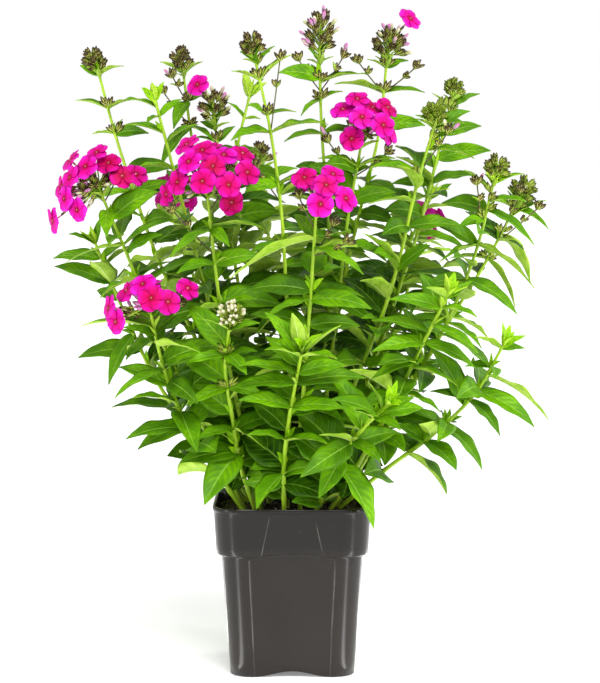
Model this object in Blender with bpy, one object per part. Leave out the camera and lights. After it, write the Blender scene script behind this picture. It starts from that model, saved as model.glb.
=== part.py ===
"""A garden phlox in flower, in a square plastic nursery pot.

Thirty leafy stems stand in the soil. Some end in a head of closed buds, some in a dome of open
flowers, some in young leaves. The plant's tables are in centimetres, everything else in metres.
The origin is on the ground under the pot's middle, the front faces -Y and +Z is up.
"""
import math
import random

import bmesh
import bpy
import numpy as np
from mathutils.bvhtree import BVHTree

CM = 0.01
GAP = 0.0003
GOLDEN_TURN = math.radians(137.5)
UP = np.array((0.0, 0.0, 1.0))

# Pot
POT_HEIGHT = 0.199
LIP_HALF = 0.0925
LIP_DEPTH = 0.005
COLLAR_TOP_HALF = 0.0912
COLLAR_FOOT_HALF = 0.0882
COLLAR_HEIGHT = 0.057
BODY_TOP_HALF = 0.0826
BODY_FOOT_HALF = 0.0725
CORNER_SHARE = 0.36
WALL = 0.0028
ARCH_HEIGHT = 0.0065
FLOOR_UNDERSIDE = 0.0075
FLOOR_TOP = 0.0105
PANEL_HALF_TOP = 0.024
PANEL_HALF_FOOT = 0.036
PANEL_SINK = 0.0042
COLLAR_STEP = 0.001
COLLAR_ARCH = 0.004
COLLAR_INSIDE = 0.004
ARCH_SHOULDER = 0.45
LIP_ROUND = 0.0006
PAD_RADIUS = 0.014
FOOT_BEVEL = 0.001
DRAIN_RADIUS = 0.005
DRAIN_OFFSET = 0.042
DRAIN_SPAN = (0.002, 0.02)
GUARD = 0.001
CORNER_STEPS = 3
SMOOTH_BELOW = 28

# Soil and stems
SOIL_TOP = 0.188
SOIL_CROWN = 0.003
CROWN_SHARE = 0.7
STEM_FOOT_DEPTH = 0.025
STEM_FOOT_RADIUS = 0.0029
STEM_TIP_RADIUS = 0.0016
STEM_SIDES = 4
STEM_RING_STEP = 0.085
STEM_LAST_SHARE = 0.97
HOLE_CLEARANCE = 0.0006
HOLE_REACH = 0.02
SOIL_CLEARANCE = 0.0008

# Leaves
LEAF_WIDTH_SHARE = 0.33
LEAF_WIDTH_MAX = 0.0265
LEAF_WIDTHS = (0.9, 1.12)
LOW_LEAVES = 0.275
LOW_BROAD = 1.55
LEAF_ROOT_POWER = 0.6
LEAF_TIP_POWER = 1.05
LEAF_EDGE = 0.0009
LEAF_FOLD = (0.14, 0.28)
LEAF_FOLD_POWER = 1.4
LEAF_TWIST = 0.25
LEAF_RISE = 0.5
LEAF_LEAN = (0.45, 0.95)
LEVEL_CHANCE = (0.2, 0.75)
LEVEL_HEIGHTS = (0.36, 0.68)
LEVEL_LEAN = (-0.12, 0.1)
LEVEL_FOLD = (0.28, 0.45)
LEAF_THICKNESS = 0.001
LEAF_ARCH = 0.16
LEAF_ROOT_BACK = 0.0003
LEAF_CLEARANCE = 0.0005
NEXT_PAIR = 0.015
TRY_SIZES = (1.0, 0.88, 0.75, 0.62)
TRY_LIFTS = (0.0, 0.008, -0.008, 0.016, -0.016)
TRY_TURNS = (0, 10, -10, 20, -20, 32, -32)
PAIR_SIZES = (0.9, 1.1)
PAIR_SHRINK = 0.35
PAIR_TURN = 0.2
PAIR_RISE = (-0.15, 0.25)
PAIR_LIFT = 0.35
BACK_STARTS = 0.1
TURN_ASIDE = 0.35
TURN_BACK = 0.05
TURN_FRONT = -0.12
LONG_LEAF = 0.084
SMALL_LEAF = 0.04
LONG_STATIONS = (0.2, 0.5, 0.8)
SHORT_STATIONS = (0.3, 0.68)
SMALL_STATIONS = (0.4,)

# Flowers and buds
FLOWER_RADIUS = 0.0152
FLOWER_SIZES = (0.95, 1.04)
FACE_ALONG = 0.6
FACE_OUTWARD = 0.65
FACE_UP = 0.2
LOBE_LIFT = 0.0016
NOTCH_DROP = 0.0004
NOTCH_SHARE = 0.72
LOBE_SHARE = 0.3
PETAL_THICKNESS = 0.0009
FLOWER_STEPS = (0.0, 0.002, -0.002, 0.004, -0.004, 0.006, -0.006)
TUBE_RADIUS = 0.0012
THROAT_DEPTH = 0.0026
THROAT_SHARE = 1.5
TUBE_FOOT_SHARE = 0.5
FOOT_SHARES = (0.9, 0.8, 0.7, 0.6, 0.5, 0.4, 0.3)
BUD_LENGTH = 0.0145
BUD_RADIUS = 0.003
BUD_SIDES = 3
BUD_FULLEST = 0.66
BUD_SUNK = 0.2
BUD_TURN = 0.15
BUD_REACH = (1.0, 1.12)
BUD_HEARTS = (0.15, 0.45)
HEAD_CORE = ((0.3, 0.42), (0.6, 0.4), (0.84, 0.12))
CORE_FOOT = 0.002
HEAD_LOWEST = math.radians(118)
HEAD_HIGHEST = math.radians(10)
TWIG_RADIUS = 0.0012
TWIG_BUD_TURN = 0.5
TWIG_BUD_LEAN = 0.4
TWIG_BUD_SUNK = 0.003
TWIG_BUD_SHARE = 0.8
TWIG_SHIFTS = ((0, 0), (0, -0.8), (0, 0.8), (0.8, 0), (-0.8, 0), (0, -1.6), (0, 1.6))
CORE_LENGTH = 0.011
CORE_RADIUS = 0.0046
CORE_HEART = 0.6
CORE_TIP_SHARE = 0.4

# Each stem's route, from the soil to its tip
ROUTES = {
    "a": [(-3.6, 1, 18.8), (-6.6, 1.6, 28), (-11, 2.3, 37.5), (-16, 3.4, 48), (-18.2, 3.9, 54),
          (-21.2, 5, 63), (-23.2, 6, 70.3)],
    "b": [(-5.6, -1, 18.8), (-10.9, -1.6, 29.5), (-15, -2.5, 38), (-18, -3.4, 46), (-20, -4, 51),
          (-22, -5, 56)],
    "c": [(-5.6, -4, 18.8), (-10.8, -5.3, 27), (-14, -7.7, 33.5), (-15.2, -10.2, 39.5),
          (-15.9, -12, 42.8)],
    "d": [(-5.4, 3, 18.8), (-9.5, 3.5, 24), (-14, 4.2, 29.5), (-18.3, 5.5, 37), (-22, 7, 45.5),
          (-24, 8, 50)],
    "e": [(-2.6, 4.6, 18.8), (-7, 6.6, 40.5), (-8.4, 8, 49.5), (-11.3, 9.3, 57.5), (-12.9, 10.9, 67),
          (-13.4, 12, 70.7)],
    "f": [(-4.2, -0.2, 18.8), (-7.4, 0.2, 32), (-10, 0.8, 43.5), (-12, 1.2, 51), (-14, 1.6, 58.5),
          (-15, 1.8, 64), (-16.2, 2, 67)],
    "c1": [(-3.6, -3, 18.8), (-7.2, -4.9, 35.5), (-8.5, -6.5, 45), (-9.3, -7.8, 52.5), (-9.6, -8.4, 56)],
    "g": [(-0.6, -1, 18.8), (-0.3, -1.4, 34), (-0.9, -1.9, 48), (-1.4, -2.2, 55), (-2.5, -2.5, 63),
          (-3.7, -2.8, 70), (-4.3, -3, 71.5)],
    "g2": [(-2.8, 2.2, 18.8), (-5.6, 4.4, 39.5), (-7.8, 6.5, 52.5), (-9.1, 8.2, 62.3), (-9.4, 9, 64.1)],
    "s": [(-1.3, 5.4, 18.8), (-3.4, 8.2, 38), (-6.1, 10.4, 51.5), (-7, 12.6, 62), (-6.4, 13.2, 65),
          (-5.3, 14, 68)],
    "h": [(1, 2, 18.8), (3.6, 2.5, 37), (4.6, 2.8, 47.5), (3.6, 3.3, 61), (3.2, 3.8, 71.7)],
    "i": [(2.3, 4, 18.8), (4.5, 5, 34.5), (7, 6.3, 49.5), (9.9, 7.3, 60), (10.9, 8.2, 68), (11.4, 9, 71.7)],
    "c2": [(2.4, 0.4, 18.8), (5, 0.4, 40), (6.8, 0.2, 55), (7.6, 0, 60), (8.1, 0, 61.8)],
    "c3": [(0.9, -4, 18.8), (0.9, -4.8, 27), (1.6, -6.9, 37), (2.3, -9.4, 47.5), (2.7, -11.4, 53.8)],
    "j1": [(3.2, -1.2, 18.8), (6.4, -1.2, 31), (10.3, -1.4, 41), (12.2, -1.5, 47), (14.6, -1.8, 57.3),
           (16.6, -2, 64)],
    "j2": [(3.9, 3, 18.8), (9.9, 5, 36), (14.8, 7.5, 50), (17.8, 9.5, 61), (19.5, 11, 67.5)],
    "j3": [(3.5, 5.4, 18.8), (8, 8.6, 31), (11.6, 11.1, 40), (15.2, 15.5, 52), (17.4, 17, 55.5)],
    "k1": [(5, 0.2, 18.8), (12.7, -0.5, 31), (17.5, -1.2, 39.5), (21.7, -2.1, 50), (23.4, -3, 57.5)],
    "k2": [(5.4, 2.8, 18.8), (15.4, 4.9, 35), (22.4, 6.9, 46), (26, 8, 52), (27.3, 9, 54.6)],
    "n": [(4.4, -2.4, 18.8), (9.8, -3.6, 28), (13.6, -5.9, 35.5), (16, -8, 41.5), (17.7, -9, 44.5)],
    "o": [(2.6, -5.8, 18.8), (5.5, -8.9, 25.8), (7.7, -11.6, 29.2), (10.7, -15, 32.7)],
    "p": [(5.5, -1.1, 18.8), (8.4, -1.4, 21.7), (13.1, -2, 25), (18, -2.8, 29.2), (23, -3.9, 34.8),
          (24.5, -5, 38.6)],
    "m": [(-0.9, -6.6, 18.8), (-0.9, -8.8, 26), (0.1, -11.8, 33), (1.2, -15, 39)],
    "l": [(-4.2, -4.8, 18.8), (-6.3, -5.7, 25.7), (-7, -7.9, 31.5), (-7.7, -11.1, 38), (-7, -13.6, 41.1)],
    "r1": [(-3.9, 5.2, 18.8), (-7.5, 9, 30), (-12, 15, 44), (-15, 19, 54)],
    "r2": [(-0.1, 6.6, 18.8), (-1, 11, 34), (-3, 17, 50), (-4, 20, 59)],
    "r3": [(1.5, 6.3, 18.8), (3, 11, 31), (5, 18, 46), (6, 22, 55)],
    "r4": [(5.4, 4.6, 18.8), (10, 9.5, 32), (14.5, 16, 44), (16.5, 19.5, 50)],
    "r5": [(-5.4, 5, 18.8), (-9, 10, 25), (-13, 17, 32), (-14.5, 20, 36)],
    "r6": [(3.5, 6.9, 18.8), (7, 12, 24.5), (11, 18.5, 31), (12.5, 21, 35)],
}

# Leaves by stem: the height where each one leaves its stem, then its tip
LEAVES = {
    "a": [(70, -20, 4, 71), (70, -26, 7, 72), (66, -26, 6, 67), (66, -18, 3, 67), (63, -24, 6, 63),
          (63, -17, 3, 63), (56, -24, 3, 55), (56, -14, 7, 57), (48, -20, 7, 47)],
    "b": [(54, -21, -9, 51), (50, -26, -7, 48), (50, -13, -6, 53), (54, -17, -2, 53), (46, -22, -7, 44),
          (46, -14, -1, 48), (39, -19, -8, 37)],
    "c": [(40, -19, -12, 41), (41, -24, -9, 41), (36, -20, -12, 33), (36, -10, -11, 38), (34, -20, -6, 36),
          (32, -18, -11, 33), (29, -19, -9, 28), (40, -13, -8, 42)],
    "d": [(50, -23, 7, 53), (50, -27, 6, 51), (48, -29, 7, 48), (45, -29, 8, 47), (43, -24, 10, 44),
          (37, -26, 6, 36), (30, -22, 6, 30), (48, -20, 9, 50), (39, -22, 3, 33)],
    "e": [(70.4, -16, 11, 72), (70.4, -11, 13, 72), (67, -16, 8, 63), (67, -10, 13, 68), (64, -16, 8, 59),
          (64, -9, 8, 62), (56, -14, 14, 55), (48, -13, 6, 46)],
    "f": [(66, -19, 3, 67), (65, -17, -1, 64), (65, -13, 2, 67), (63, -20, 3, 64), (62, -11, 1, 64),
          (59, -18, -1, 59), (59, -10, 4, 59), (52, -16, -3, 50)],
    "c1": [(52, -7, -11, 50), (52, -15, -10, 49), (48, -13, -11, 47), (48, -5, -6, 48), (43, -12, -9, 42),
           (43, -4, -9, 44), (37, -4, -8, 38)],
    "g": [(71.2, -6, -4, 73), (70.6, -2, -2, 73), (69, -7, -4, 70), (69, 0, -2, 72), (65, -5, -6, 66),
          (65, 1, -3, 67), (63, 4, -4, 64), (63, -7, -6, 62), (57, -6, -5, 56), (57, 3, -2, 58),
          (50, -5, -5, 49), (50, 3, -3, 51), (42, -4, -7, 40)],
    "g2": [(62, -12, 8, 63), (62, -7, 10, 64), (59, -11, 5, 57), (59, -6, 10, 60)],
    "s": [(67.6, -6, 14, 71), (67.4, -3.6, 15, 70), (65, -8, 13, 67), (65, -4, 14, 65), (61, -10, 13, 61),
          (61, -4, 10, 61), (54, -9, 16, 54)],
    "h": [(69.5, -2, 2, 70), (69, 8, 3, 70), (67, 6, 4, 68), (67, 1, 1, 65), (63, 8, 1, 63),
          (63, -1, 2, 62), (57, 1, -2, 56), (57, 9, 2, 59), (50, 8, -1, 49)],
    "i": [(71, 9, 8, 72), (71, 13.5, 10, 72), (68, 5, 7, 69), (68, 16, 8, 68), (64, 7, 9, 63),
          (64, 16, 7, 64), (59, 5, 7, 58), (59, 14, 7, 59), (52, 12, 3, 51)],
    "c2": [(59, 3, -2, 60), (59, 12, -2, 60), (55, 2, 0, 55), (55, 12, -3, 56), (50, 11, -4, 48),
           (50, 1, -2, 51), (43, 9, -4, 41)],
    "c3": [(51, -7, -13, 46.5), (50, 8, -13, 47), (44, 9, -11, 43), (44, -3, -11, 42), (37, 5, -11, 36),
           (37, -3, -9, 37), (32, 6, -9, 30)],
    "j1": [(66, 14, -2, 67), (64, 14, -1, 68), (63.5, 21, -2, 67), (64, 20, -4, 64), (62, 19, -1, 63),
           (52, 20, -3, 52), (55, 8, -3, 55), (47, 7, -4, 51), (47, 16, -4, 50), (45, 9, -5, 46),
           (41, 7, -4, 42), (41, 16, -4, 40), (36, 4, -4, 35), (36, 12, -3, 36), (58, 9, -4, 59),
           (61, 21, -4, 60)],
    "j2": [(60, 24, 8, 61), (57, 22, 8, 58), (57, 12, 10, 57), (66, 23, 12, 68), (66, 17, 10, 68),
           (51, 21, 6, 49), (63, 23, 10, 64), (63, 15, 12, 65), (45, 18, 11, 44)],
    "j3": [(55, 16, 17, 58.5), (55, 20, 18, 57), (54, 21, 15, 54), (54, 14, 19, 53), (50, 11, 16, 51),
           (50, 19, 17, 49), (44, 10, 17, 43), (44, 17, 9, 44)],
    "k1": [(56, 20, -4, 58.5), (57, 27, -2, 59), (55, 27, -5, 55), (54, 28, -4, 50), (53, 19, -5, 52),
           (50, 28, -5, 45), (50, 17, -4, 48), (46, 26, -5, 42), (46, 15, -4, 45), (41, 22, -4, 38),
           (41, 13, -2, 41)],
    "k2": [(54, 31, 7, 52), (54, 24, 6, 55), (53, 31, 10, 55), (51, 29, 9, 45), (51, 23, 9, 52),
           (48, 27, 7, 42), (48, 19, 8, 48), (41, 24, 9, 38), (41, 14, 4, 42)],
    "n": [(43, 11, -9, 44), (43, 21, -10, 42), (41, 21, -11, 38), (44, 15, -12, 45.5), (44, 20.5, -8, 46),
          (39, 9, -9, 38), (39, 21, -8, 36), (36, 19, -8, 34), (37, 9, -10, 35), (33, 7, -8, 31),
          (33, 17, -8, 31)],
    "o": [(32, 8.5, -13, 35), (32, 13.5, -16, 33.5), (31, 7, -15, 32), (31, 12, -17, 30), (28, 3, -13, 29),
          (28, 10, -14, 26), (26, 3, -11, 21.5), (26, 4, -12, 27), (25, 9.3, -10.8, 17.9)],
    "p": [(38, 21, -6, 39.5), (38, 27, -4, 38), (36, 20, -5, 36), (36, 23, -9.5, 35), (33, 28, -6, 29),
          (35, 30, -3, 29.5), (32, 24, -6, 28), (32, 16, -4, 33), (29, 22, -6, 24), (29, 13, -5, 31),
          (27, 19, -6, 24), (27, 12, -3, 29), (25.5, 18, -5, 21)],
    "m": [(38, -3, -16, 43), (38, 0, -17, 43), (38, -3, -18, 39), (38, 5, -18, 38), (38, 5.5, -15, 41.5),
          (36, -6, -15, 37), (36, 6, -15, 37), (32, -6, -14, 33), (32, 6, -14, 32), (28, -5, -13, 29),
          (28, 4, -13, 28), (24, -4, -13, 20.6), (24, 3, -11, 25)],
    "l": [(41, -10, -13, 42), (41, -3.5, -14, 42), (38, -5, -15.5, 36), (38, -12, -13, 37),
          (34, -12, -11, 32), (34, -3, -10, 33), (29, -11, -10, 28), (29, -3, -10, 27),
          (26, -10, -10.5, 20.6), (26, -13, -7, 25)],
}

# Pairs of leaves set by rule: lowest and highest pair, pairs, leaf length
PAIRS = {
    "r1": (30, 52, 4, 8), "r2": (30, 57, 4, 8), "r3": (30, 53, 4, 8), "r4": (29, 48, 4, 8),
    "r5": (24, 34.5, 2, 7), "r6": (24, 33.5, 2, 7), "a": (30, 41, 2, 8), "b": (29, 33, 1, 8),
    "e": (31, 42, 2, 8), "f": (29, 45, 3, 8), "c1": (25, 31, 2, 8), "g": (27, 36, 2, 8),
    "g2": (33, 50, 3, 8), "s": (36, 47, 2, 8), "h": (29, 43, 3, 8), "i": (33, 46, 2, 8),
    "c2": (29, 36, 2, 8), "c3": (25, 29, 1, 7.5), "j1": (28, 28, 1, 8), "j2": (31, 40, 2, 8),
    "k1": (28, 35, 2, 8), "k2": (29, 35, 2, 8), "n": (28, 28, 1, 7.5),
}

# Heads of closed buds: the top of each, its width and its number of buds
HEADS = {
    "a": (-24.4, 6, 73.4, 3, 12), "e": (-13.9, 12, 74, 2.8, 11), "g": (-5, -3, 74.7, 3, 12),
    "g2": (-9.8, 9, 68.6, 3.8, 13), "h": (3.4, 4, 77.8, 3.8, 16), "i": (12, 9, 76.2, 4.4, 15),
    "j1": (16.4, -2, 66.8, 3.4, 12), "j2": (19.9, 11, 70, 2.8, 10), "k1": (24, -3, 60.6, 3.4, 12),
    "k2": (28.8, 9, 58, 3.6, 12), "l": (-6.2, -14.4, 44.1, 3, 12), "r2": (-4.4, 21, 62.4, 3.4, 11),
    "r3": (6.4, 23.2, 58.2, 3, 10),
}

# Open blooms: the middle of each flower
FLOWERS = {
    "b": [(-25.6, -4, 59.8), (-25.4, -6.6, 57.8), (-22.4, -5.4, 60.7), (-23.6, -7.4, 59.2), (-21, -6, 59.5),
          (-26.8, -4.6, 56.8), (-26, -7, 55.4), (-24.6, -7.8, 54), (-27.6, -5, 52.8), (-19.4, -6.4, 58),
          (-18, -4, 58.2), (-23.8, -2.2, 59.4)],
    "c": [(-18.6, -12, 45.2), (-16.6, -13.6, 46), (-15.6, -15, 44.4), (-20.6, -12, 43.2),
          (-19.6, -14.2, 41.8), (-13.8, -13.6, 44), (-11.7, -11, 45.4), (-16, -10, 45.6)],
    "c1": [(-10.1, -9.6, 60.9), (-11.6, -10.6, 59.6), (-12, -7, 61.6), (-7.7, -8.6, 60.4), (-5.6, -7, 60.6),
           (-5, -9.4, 58.4), (-10, -12, 57.4), (-8.8, -11.2, 59.2), (-12.9, -10, 57.3), (-14.3, -8, 55.9),
           (-7.1, -11.4, 57), (-6.8, -9.6, 55), (-9.4, -5.4, 61.2)],
    "c2": [(7.6, 0, 67), (5.9, 0, 65.8), (8.1, -2.4, 64.8), (11.2, 0.2, 66), (10.3, -2.2, 63.7),
           (9.6, 0.4, 66.6), (11.3, -0.4, 63), (6.9, -1.8, 62.3), (7.6, 2.4, 65.4)],
    "c3": [(1.4, -13.2, 57.8), (3.8, -14.4, 57), (3.2, -15.2, 54.9), (6, -13.2, 55.5), (4.6, -11.6, 58.2),
           (1.8, -10.4, 57)],
    "r1": [(-15, 20.4, 58), (-17, 20.4, 56.8), (-13.2, 20.8, 57), (-16.4, 22, 55), (-13.8, 22.2, 54.8)],
    "r4": [(16.6, 20.4, 54), (18.6, 20.6, 52.8), (15, 21.2, 52.8), (17.2, 22.6, 51)],
}

# Single open flowers beside a head: the middle of each
SINGLE_FLOWERS = {"g2": (-11.4, 6.4, 68.9), "i": (14.2, 8.2, 76.9)}

# Twigs with closed buds: the height where each one leaves its stem, then its tip
TWIGS = {
    "b": [(55, -20, -5.6, 58.2), (55, -24, -3.4, 57)],
    "c": [(42, -13, -11, 43.4), (42, -18, -11, 42.6)],
    "c1": [(49, -13.4, -8.6, 54), (54, -7.6, -6.4, 57)],
    "c2": [(58, 4.2, -0.4, 62), (58, 11, -0.6, 60.6)],
    "c3": [(49, 4.6, -9.6, 52.4), (49, 6, -10.6, 50.4), (52, 0.8, -12, 55.6)],
    "e": [(67, -14.6, 10.6, 70), (64, -15.6, 9.6, 68)],
    "g": [(63, -1.4, -3.4, 71.4), (55, -4, -3, 59)],
    "h": [(68, 0.8, 3.4, 71.6), (68, 6, 3.8, 72)],
    "i": [(68, 8, 8, 71.6), (68, 14.8, 8.4, 71)],
    "k2": [(50, 27.4, 8, 56), (50, 29.6, 7.6, 54)],
    "k1": [(52, 21.4, -3.4, 57)],
    "j1": [(59, 18, -3, 63)],
}


def unit(vector):
    return vector / np.linalg.norm(vector)


def turned(vector, axis, angle):
    """A vector turned about a unit axis"""
    along = axis * np.dot(axis, vector)
    return along + (vector - along) * math.cos(angle) + np.cross(axis, vector) * math.sin(angle)


def sideways(axis):
    """A unit vector at right angles to an axis"""
    guide = np.array((1.0, 0.0, 0.0)) if abs(axis[0]) < 0.7 else np.array((0.0, 1.0, 0.0))
    return unit(np.cross(axis, guide))


def outward(place):
    """The level way that leaves and flowers at a place turn to: to the front, or to the back behind it"""
    return unit(np.array((TURN_ASIDE * place[0], TURN_BACK if place[1] > BACK_STARTS else TURN_FRONT, 0.0)))


class Curve:
    """A smooth curve through given points, measured by height or by length"""
    STEPS = 12

    def __init__(self, points):
        knots = [np.array(point, dtype=float) for point in points]
        knots = [2 * knots[0] - knots[1]] + knots + [2 * knots[-1] - knots[-2]]
        dense = []
        for before, start, end, after in zip(knots, knots[1:], knots[2:], knots[3:]):
            for step in range(self.STEPS):
                t = step / self.STEPS
                dense.append(0.5 * (2 * start + (end - before) * t
                                    + (2 * before - 5 * start + 4 * end - after) * t ** 2
                                    + (3 * start - before - 3 * end + after) * t ** 3))
        dense.append(knots[-2])
        self.points = np.array(dense)
        steps = np.linalg.norm(np.diff(self.points, axis=0), axis=1)
        self.lengths = np.concatenate(([0.0], np.cumsum(steps)))
        self.length = self.lengths[-1]

    def at(self, length):
        return np.array([np.interp(length, self.lengths, self.points[:, i]) for i in range(3)])

    def direction(self, length):
        reach = 0.004
        return unit(self.at(min(length + reach, self.length)) - self.at(max(length - reach, 0.0)))


class Solid:
    """Points and triangles of one closed solid"""

    def __init__(self, points, faces):
        self.points = np.array(points)
        self.faces = faces

    def tree(self):
        return BVHTree.FromPolygons(self.points.tolist(), self.faces)


def loft(rings):
    """A closed solid from rings that all have the same number of points"""
    count = len(rings[0])
    points = [point for ring in rings for point in ring]
    faces = []
    for level in range(len(rings) - 1):
        low, high = level * count, (level + 1) * count
        for i in range(count):
            j = (i + 1) % count
            faces += [(low + i, low + j, high + j), (low + i, high + j, high + i)]
    top = (len(rings) - 1) * count
    for i in range(1, count - 1):
        faces += [(0, i + 1, i), (top, top + i, top + i + 1)]
    return Solid(points, faces)


def tube(path, radii, sides):
    """A round rod along a path, its sides never twisting"""
    path = np.array(path)
    side = None
    rings = []
    for index, point in enumerate(path):
        ahead = unit(path[min(index + 1, len(path) - 1)] - path[max(index - 1, 0)])
        side = sideways(ahead) if side is None else unit(side - ahead * np.dot(side, ahead))
        other = np.cross(ahead, side)
        angles = [2 * math.pi * k / sides for k in range(sides)]
        rings.append([point + radii[index] * (math.cos(a) * side + math.sin(a) * other) for a in angles])
    return loft(rings)


def spindle(start, end, radius, sides=4, fullest=0.6):
    """A slim solid, pointed at both ends"""
    axis = unit(end - start)
    side = sideways(axis)
    middle = start + (end - start) * fullest
    points = [start, end]
    points += [middle + radius * turned(side, axis, 2 * math.pi * k / sides) for k in range(sides)]
    faces = []
    for k in range(sides):
        i, j = 2 + k, 2 + (k + 1) % sides
        faces += [(0, j, i), (1, i, j)]
    return Solid(points, faces)


def square_ring(half, height, arch=0.0, panel_half=PANEL_HALF_TOP, sink=0.0):
    """A rounded square, its sides raised in an arch and sunk in a middle panel"""
    corner = half * CORNER_SHARE
    ring = []
    for quarter in range(4):
        spin = quarter * math.pi / 2
        side_points = [(-panel_half, ARCH_SHOULDER * arch, sink), (0.0, arch, sink),
                       (panel_half, ARCH_SHOULDER * arch, sink)]
        local = [(half - depth, along, rise) for along, rise, depth in side_points]
        for step in range(CORNER_STEPS + 1):
            angle = math.radians(90) * step / CORNER_STEPS
            reach = half - corner
            local.append((reach + corner * math.cos(angle), reach + corner * math.sin(angle), 0.0))
        for x, y, rise in local:
            ring.append((x * math.cos(spin) - y * math.sin(spin),
                         x * math.sin(spin) + y * math.cos(spin), height + rise))
    return ring


class Leaf:
    """An arched, folded leaf blade between its root on the stem and its tip"""

    def __init__(self, root, tip, stem_way, seed):
        draw = random.Random(seed)
        self.root = root
        self.tip = tip
        span = tip - root
        self.length = np.linalg.norm(span)
        self.elbow = root + 0.5 * span + stem_way * LEAF_ARCH * self.length
        level = draw.random() < np.interp(root[2], LEVEL_HEIGHTS, LEVEL_CHANCE)
        lean = draw.uniform(*(LEVEL_LEAN if level else LEAF_LEAN))
        face = LEAF_RISE * UP + outward(0.5 * (root + tip)) * lean
        self.side = turned(unit(np.cross(span, face)), unit(span), draw.uniform(-LEAF_TWIST, LEAF_TWIST))
        width = min(LEAF_WIDTH_MAX, self.length * LEAF_WIDTH_SHARE * draw.uniform(*LEAF_WIDTHS))
        self.half_width = 0.5 * width * (LOW_BROAD if root[2] < LOW_LEAVES else 1.0)
        self.fold = draw.uniform(*(LEVEL_FOLD if level else LEAF_FOLD))

    def spine(self, u):
        return (1 - u) ** 2 * self.root + 2 * u * (1 - u) * self.elbow + u ** 2 * self.tip

    def across(self, u):
        """The half width of the blade, rounded near the root and long-pointed at the tip"""
        fullest = LEAF_ROOT_POWER / (LEAF_ROOT_POWER + LEAF_TIP_POWER)
        most = fullest ** LEAF_ROOT_POWER * (1 - fullest) ** LEAF_TIP_POWER
        return max(self.half_width * u ** LEAF_ROOT_POWER * (1 - u) ** LEAF_TIP_POWER / most, LEAF_EDGE)

    def point(self, u, v, lift=0.0):
        """A point of the blade: u runs to the tip, v from edge to edge, lift stands off it"""
        ahead = unit((1 - u) * (self.elbow - self.root) + u * (self.tip - self.elbow))
        side = unit(self.side - ahead * np.dot(self.side, ahead))
        upper = np.cross(side, ahead)
        half = self.across(u)
        return self.spine(u) + side * v * half + upper * (self.fold * abs(v) ** LEAF_FOLD_POWER * half + lift)

    def solid(self, grow=0.0):
        """The blade with a flat top and a keel under its midrib, in a few stations"""
        stations = LONG_STATIONS if self.length > LONG_LEAF else SHORT_STATIONS
        if self.length < SMALL_LEAF:
            stations = SMALL_STATIONS
        stretch = 1 + grow / self.half_width
        level_way = np.array((self.tip[0] - self.root[0], self.tip[1] - self.root[1], 0.0))
        points = [self.root - unit(level_way) * LEAF_ROOT_BACK]
        for u in stations:
            points += [self.point(u, -stretch, grow), self.point(u, stretch, grow),
                       self.point(u, 0, -LEAF_THICKNESS - grow)]
        points.append(self.tip + grow * unit(self.tip - self.elbow))
        end = len(points) - 1
        faces = [(0, 1 + (i + 1) % 3, 1 + i) for i in range(3)]
        for low in range(1, end - 3, 3):
            for i, j in ((0, 1), (1, 2), (0, 2)):
                faces += [(low + i, low + j, low + 3 + j), (low + i, low + 3 + j, low + 3 + i)]
        faces += [(end - 3 + i, end - 3 + (i + 1) % 3, end) for i in range(3)]
        return Solid(points, faces)


class Flower:
    """A flat flower of five lobes on a thin tube that starts inside its head"""

    def __init__(self, middle, start, seed):
        draw = random.Random(seed)
        self.middle = middle
        self.start = start
        self.way = unit(FACE_ALONG * unit(middle - start) + FACE_OUTWARD * outward(middle) + FACE_UP * UP)
        self.spin = draw.uniform(0, 2 * math.pi)
        self.lifts = [draw.uniform(-LOBE_LIFT, LOBE_LIFT) for _ in range(5)]
        self.radius = FLOWER_RADIUS * draw.uniform(*FLOWER_SIZES)
        self.side = sideways(self.way)

    def face_point(self, angle, radius, lift):
        return self.middle + radius * turned(self.side, self.way, self.spin + angle) + lift * self.way

    def solid(self):
        lobe = 2 * math.pi / 5
        points = [self.face_point(0, 0, -PETAL_THICKNESS)]
        for k in range(5):
            for turn, share in ((-0.5, NOTCH_SHARE), (-LOBE_SHARE, 1.0), (LOBE_SHARE, 1.0)):
                lift = self.lifts[k] if share == 1.0 else -NOTCH_DROP
                points.append(self.face_point((k + turn) * lobe, share * self.radius, lift))
        throat = self.middle - THROAT_DEPTH * self.way
        foot = self.start
        for centre, radius in ((throat, TUBE_RADIUS * THROAT_SHARE), (foot, TUBE_RADIUS * TUBE_FOOT_SHARE)):
            points += [centre + radius * turned(self.side, self.way, self.spin + (k - 0.25) * 2 * math.pi / 3)
                       for k in range(3)]
        faces = [(0, 1 + i, 1 + (i + 1) % 15) for i in range(15)]
        neck, root = 16, 19
        for k in range(3):
            nxt = (k + 1) % 3
            for i in range(5 * k, 5 * k + 5):
                faces.append((neck + k, 1 + (i + 1) % 15, 1 + i))
            faces.append((neck + k, neck + nxt, 1 + (5 * k + 5) % 15))
            faces += [(root + k, root + nxt, neck + nxt), (root + k, neck + nxt, neck + k)]
        faces.append((root, root + 1, root + 2))
        return Solid(points, faces)

    def disc(self):
        """The open face alone, to test it against its neighbours"""
        whole = self.solid()
        return Solid(whole.points[:19], [face for face in whole.faces if max(face) < 19])


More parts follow.
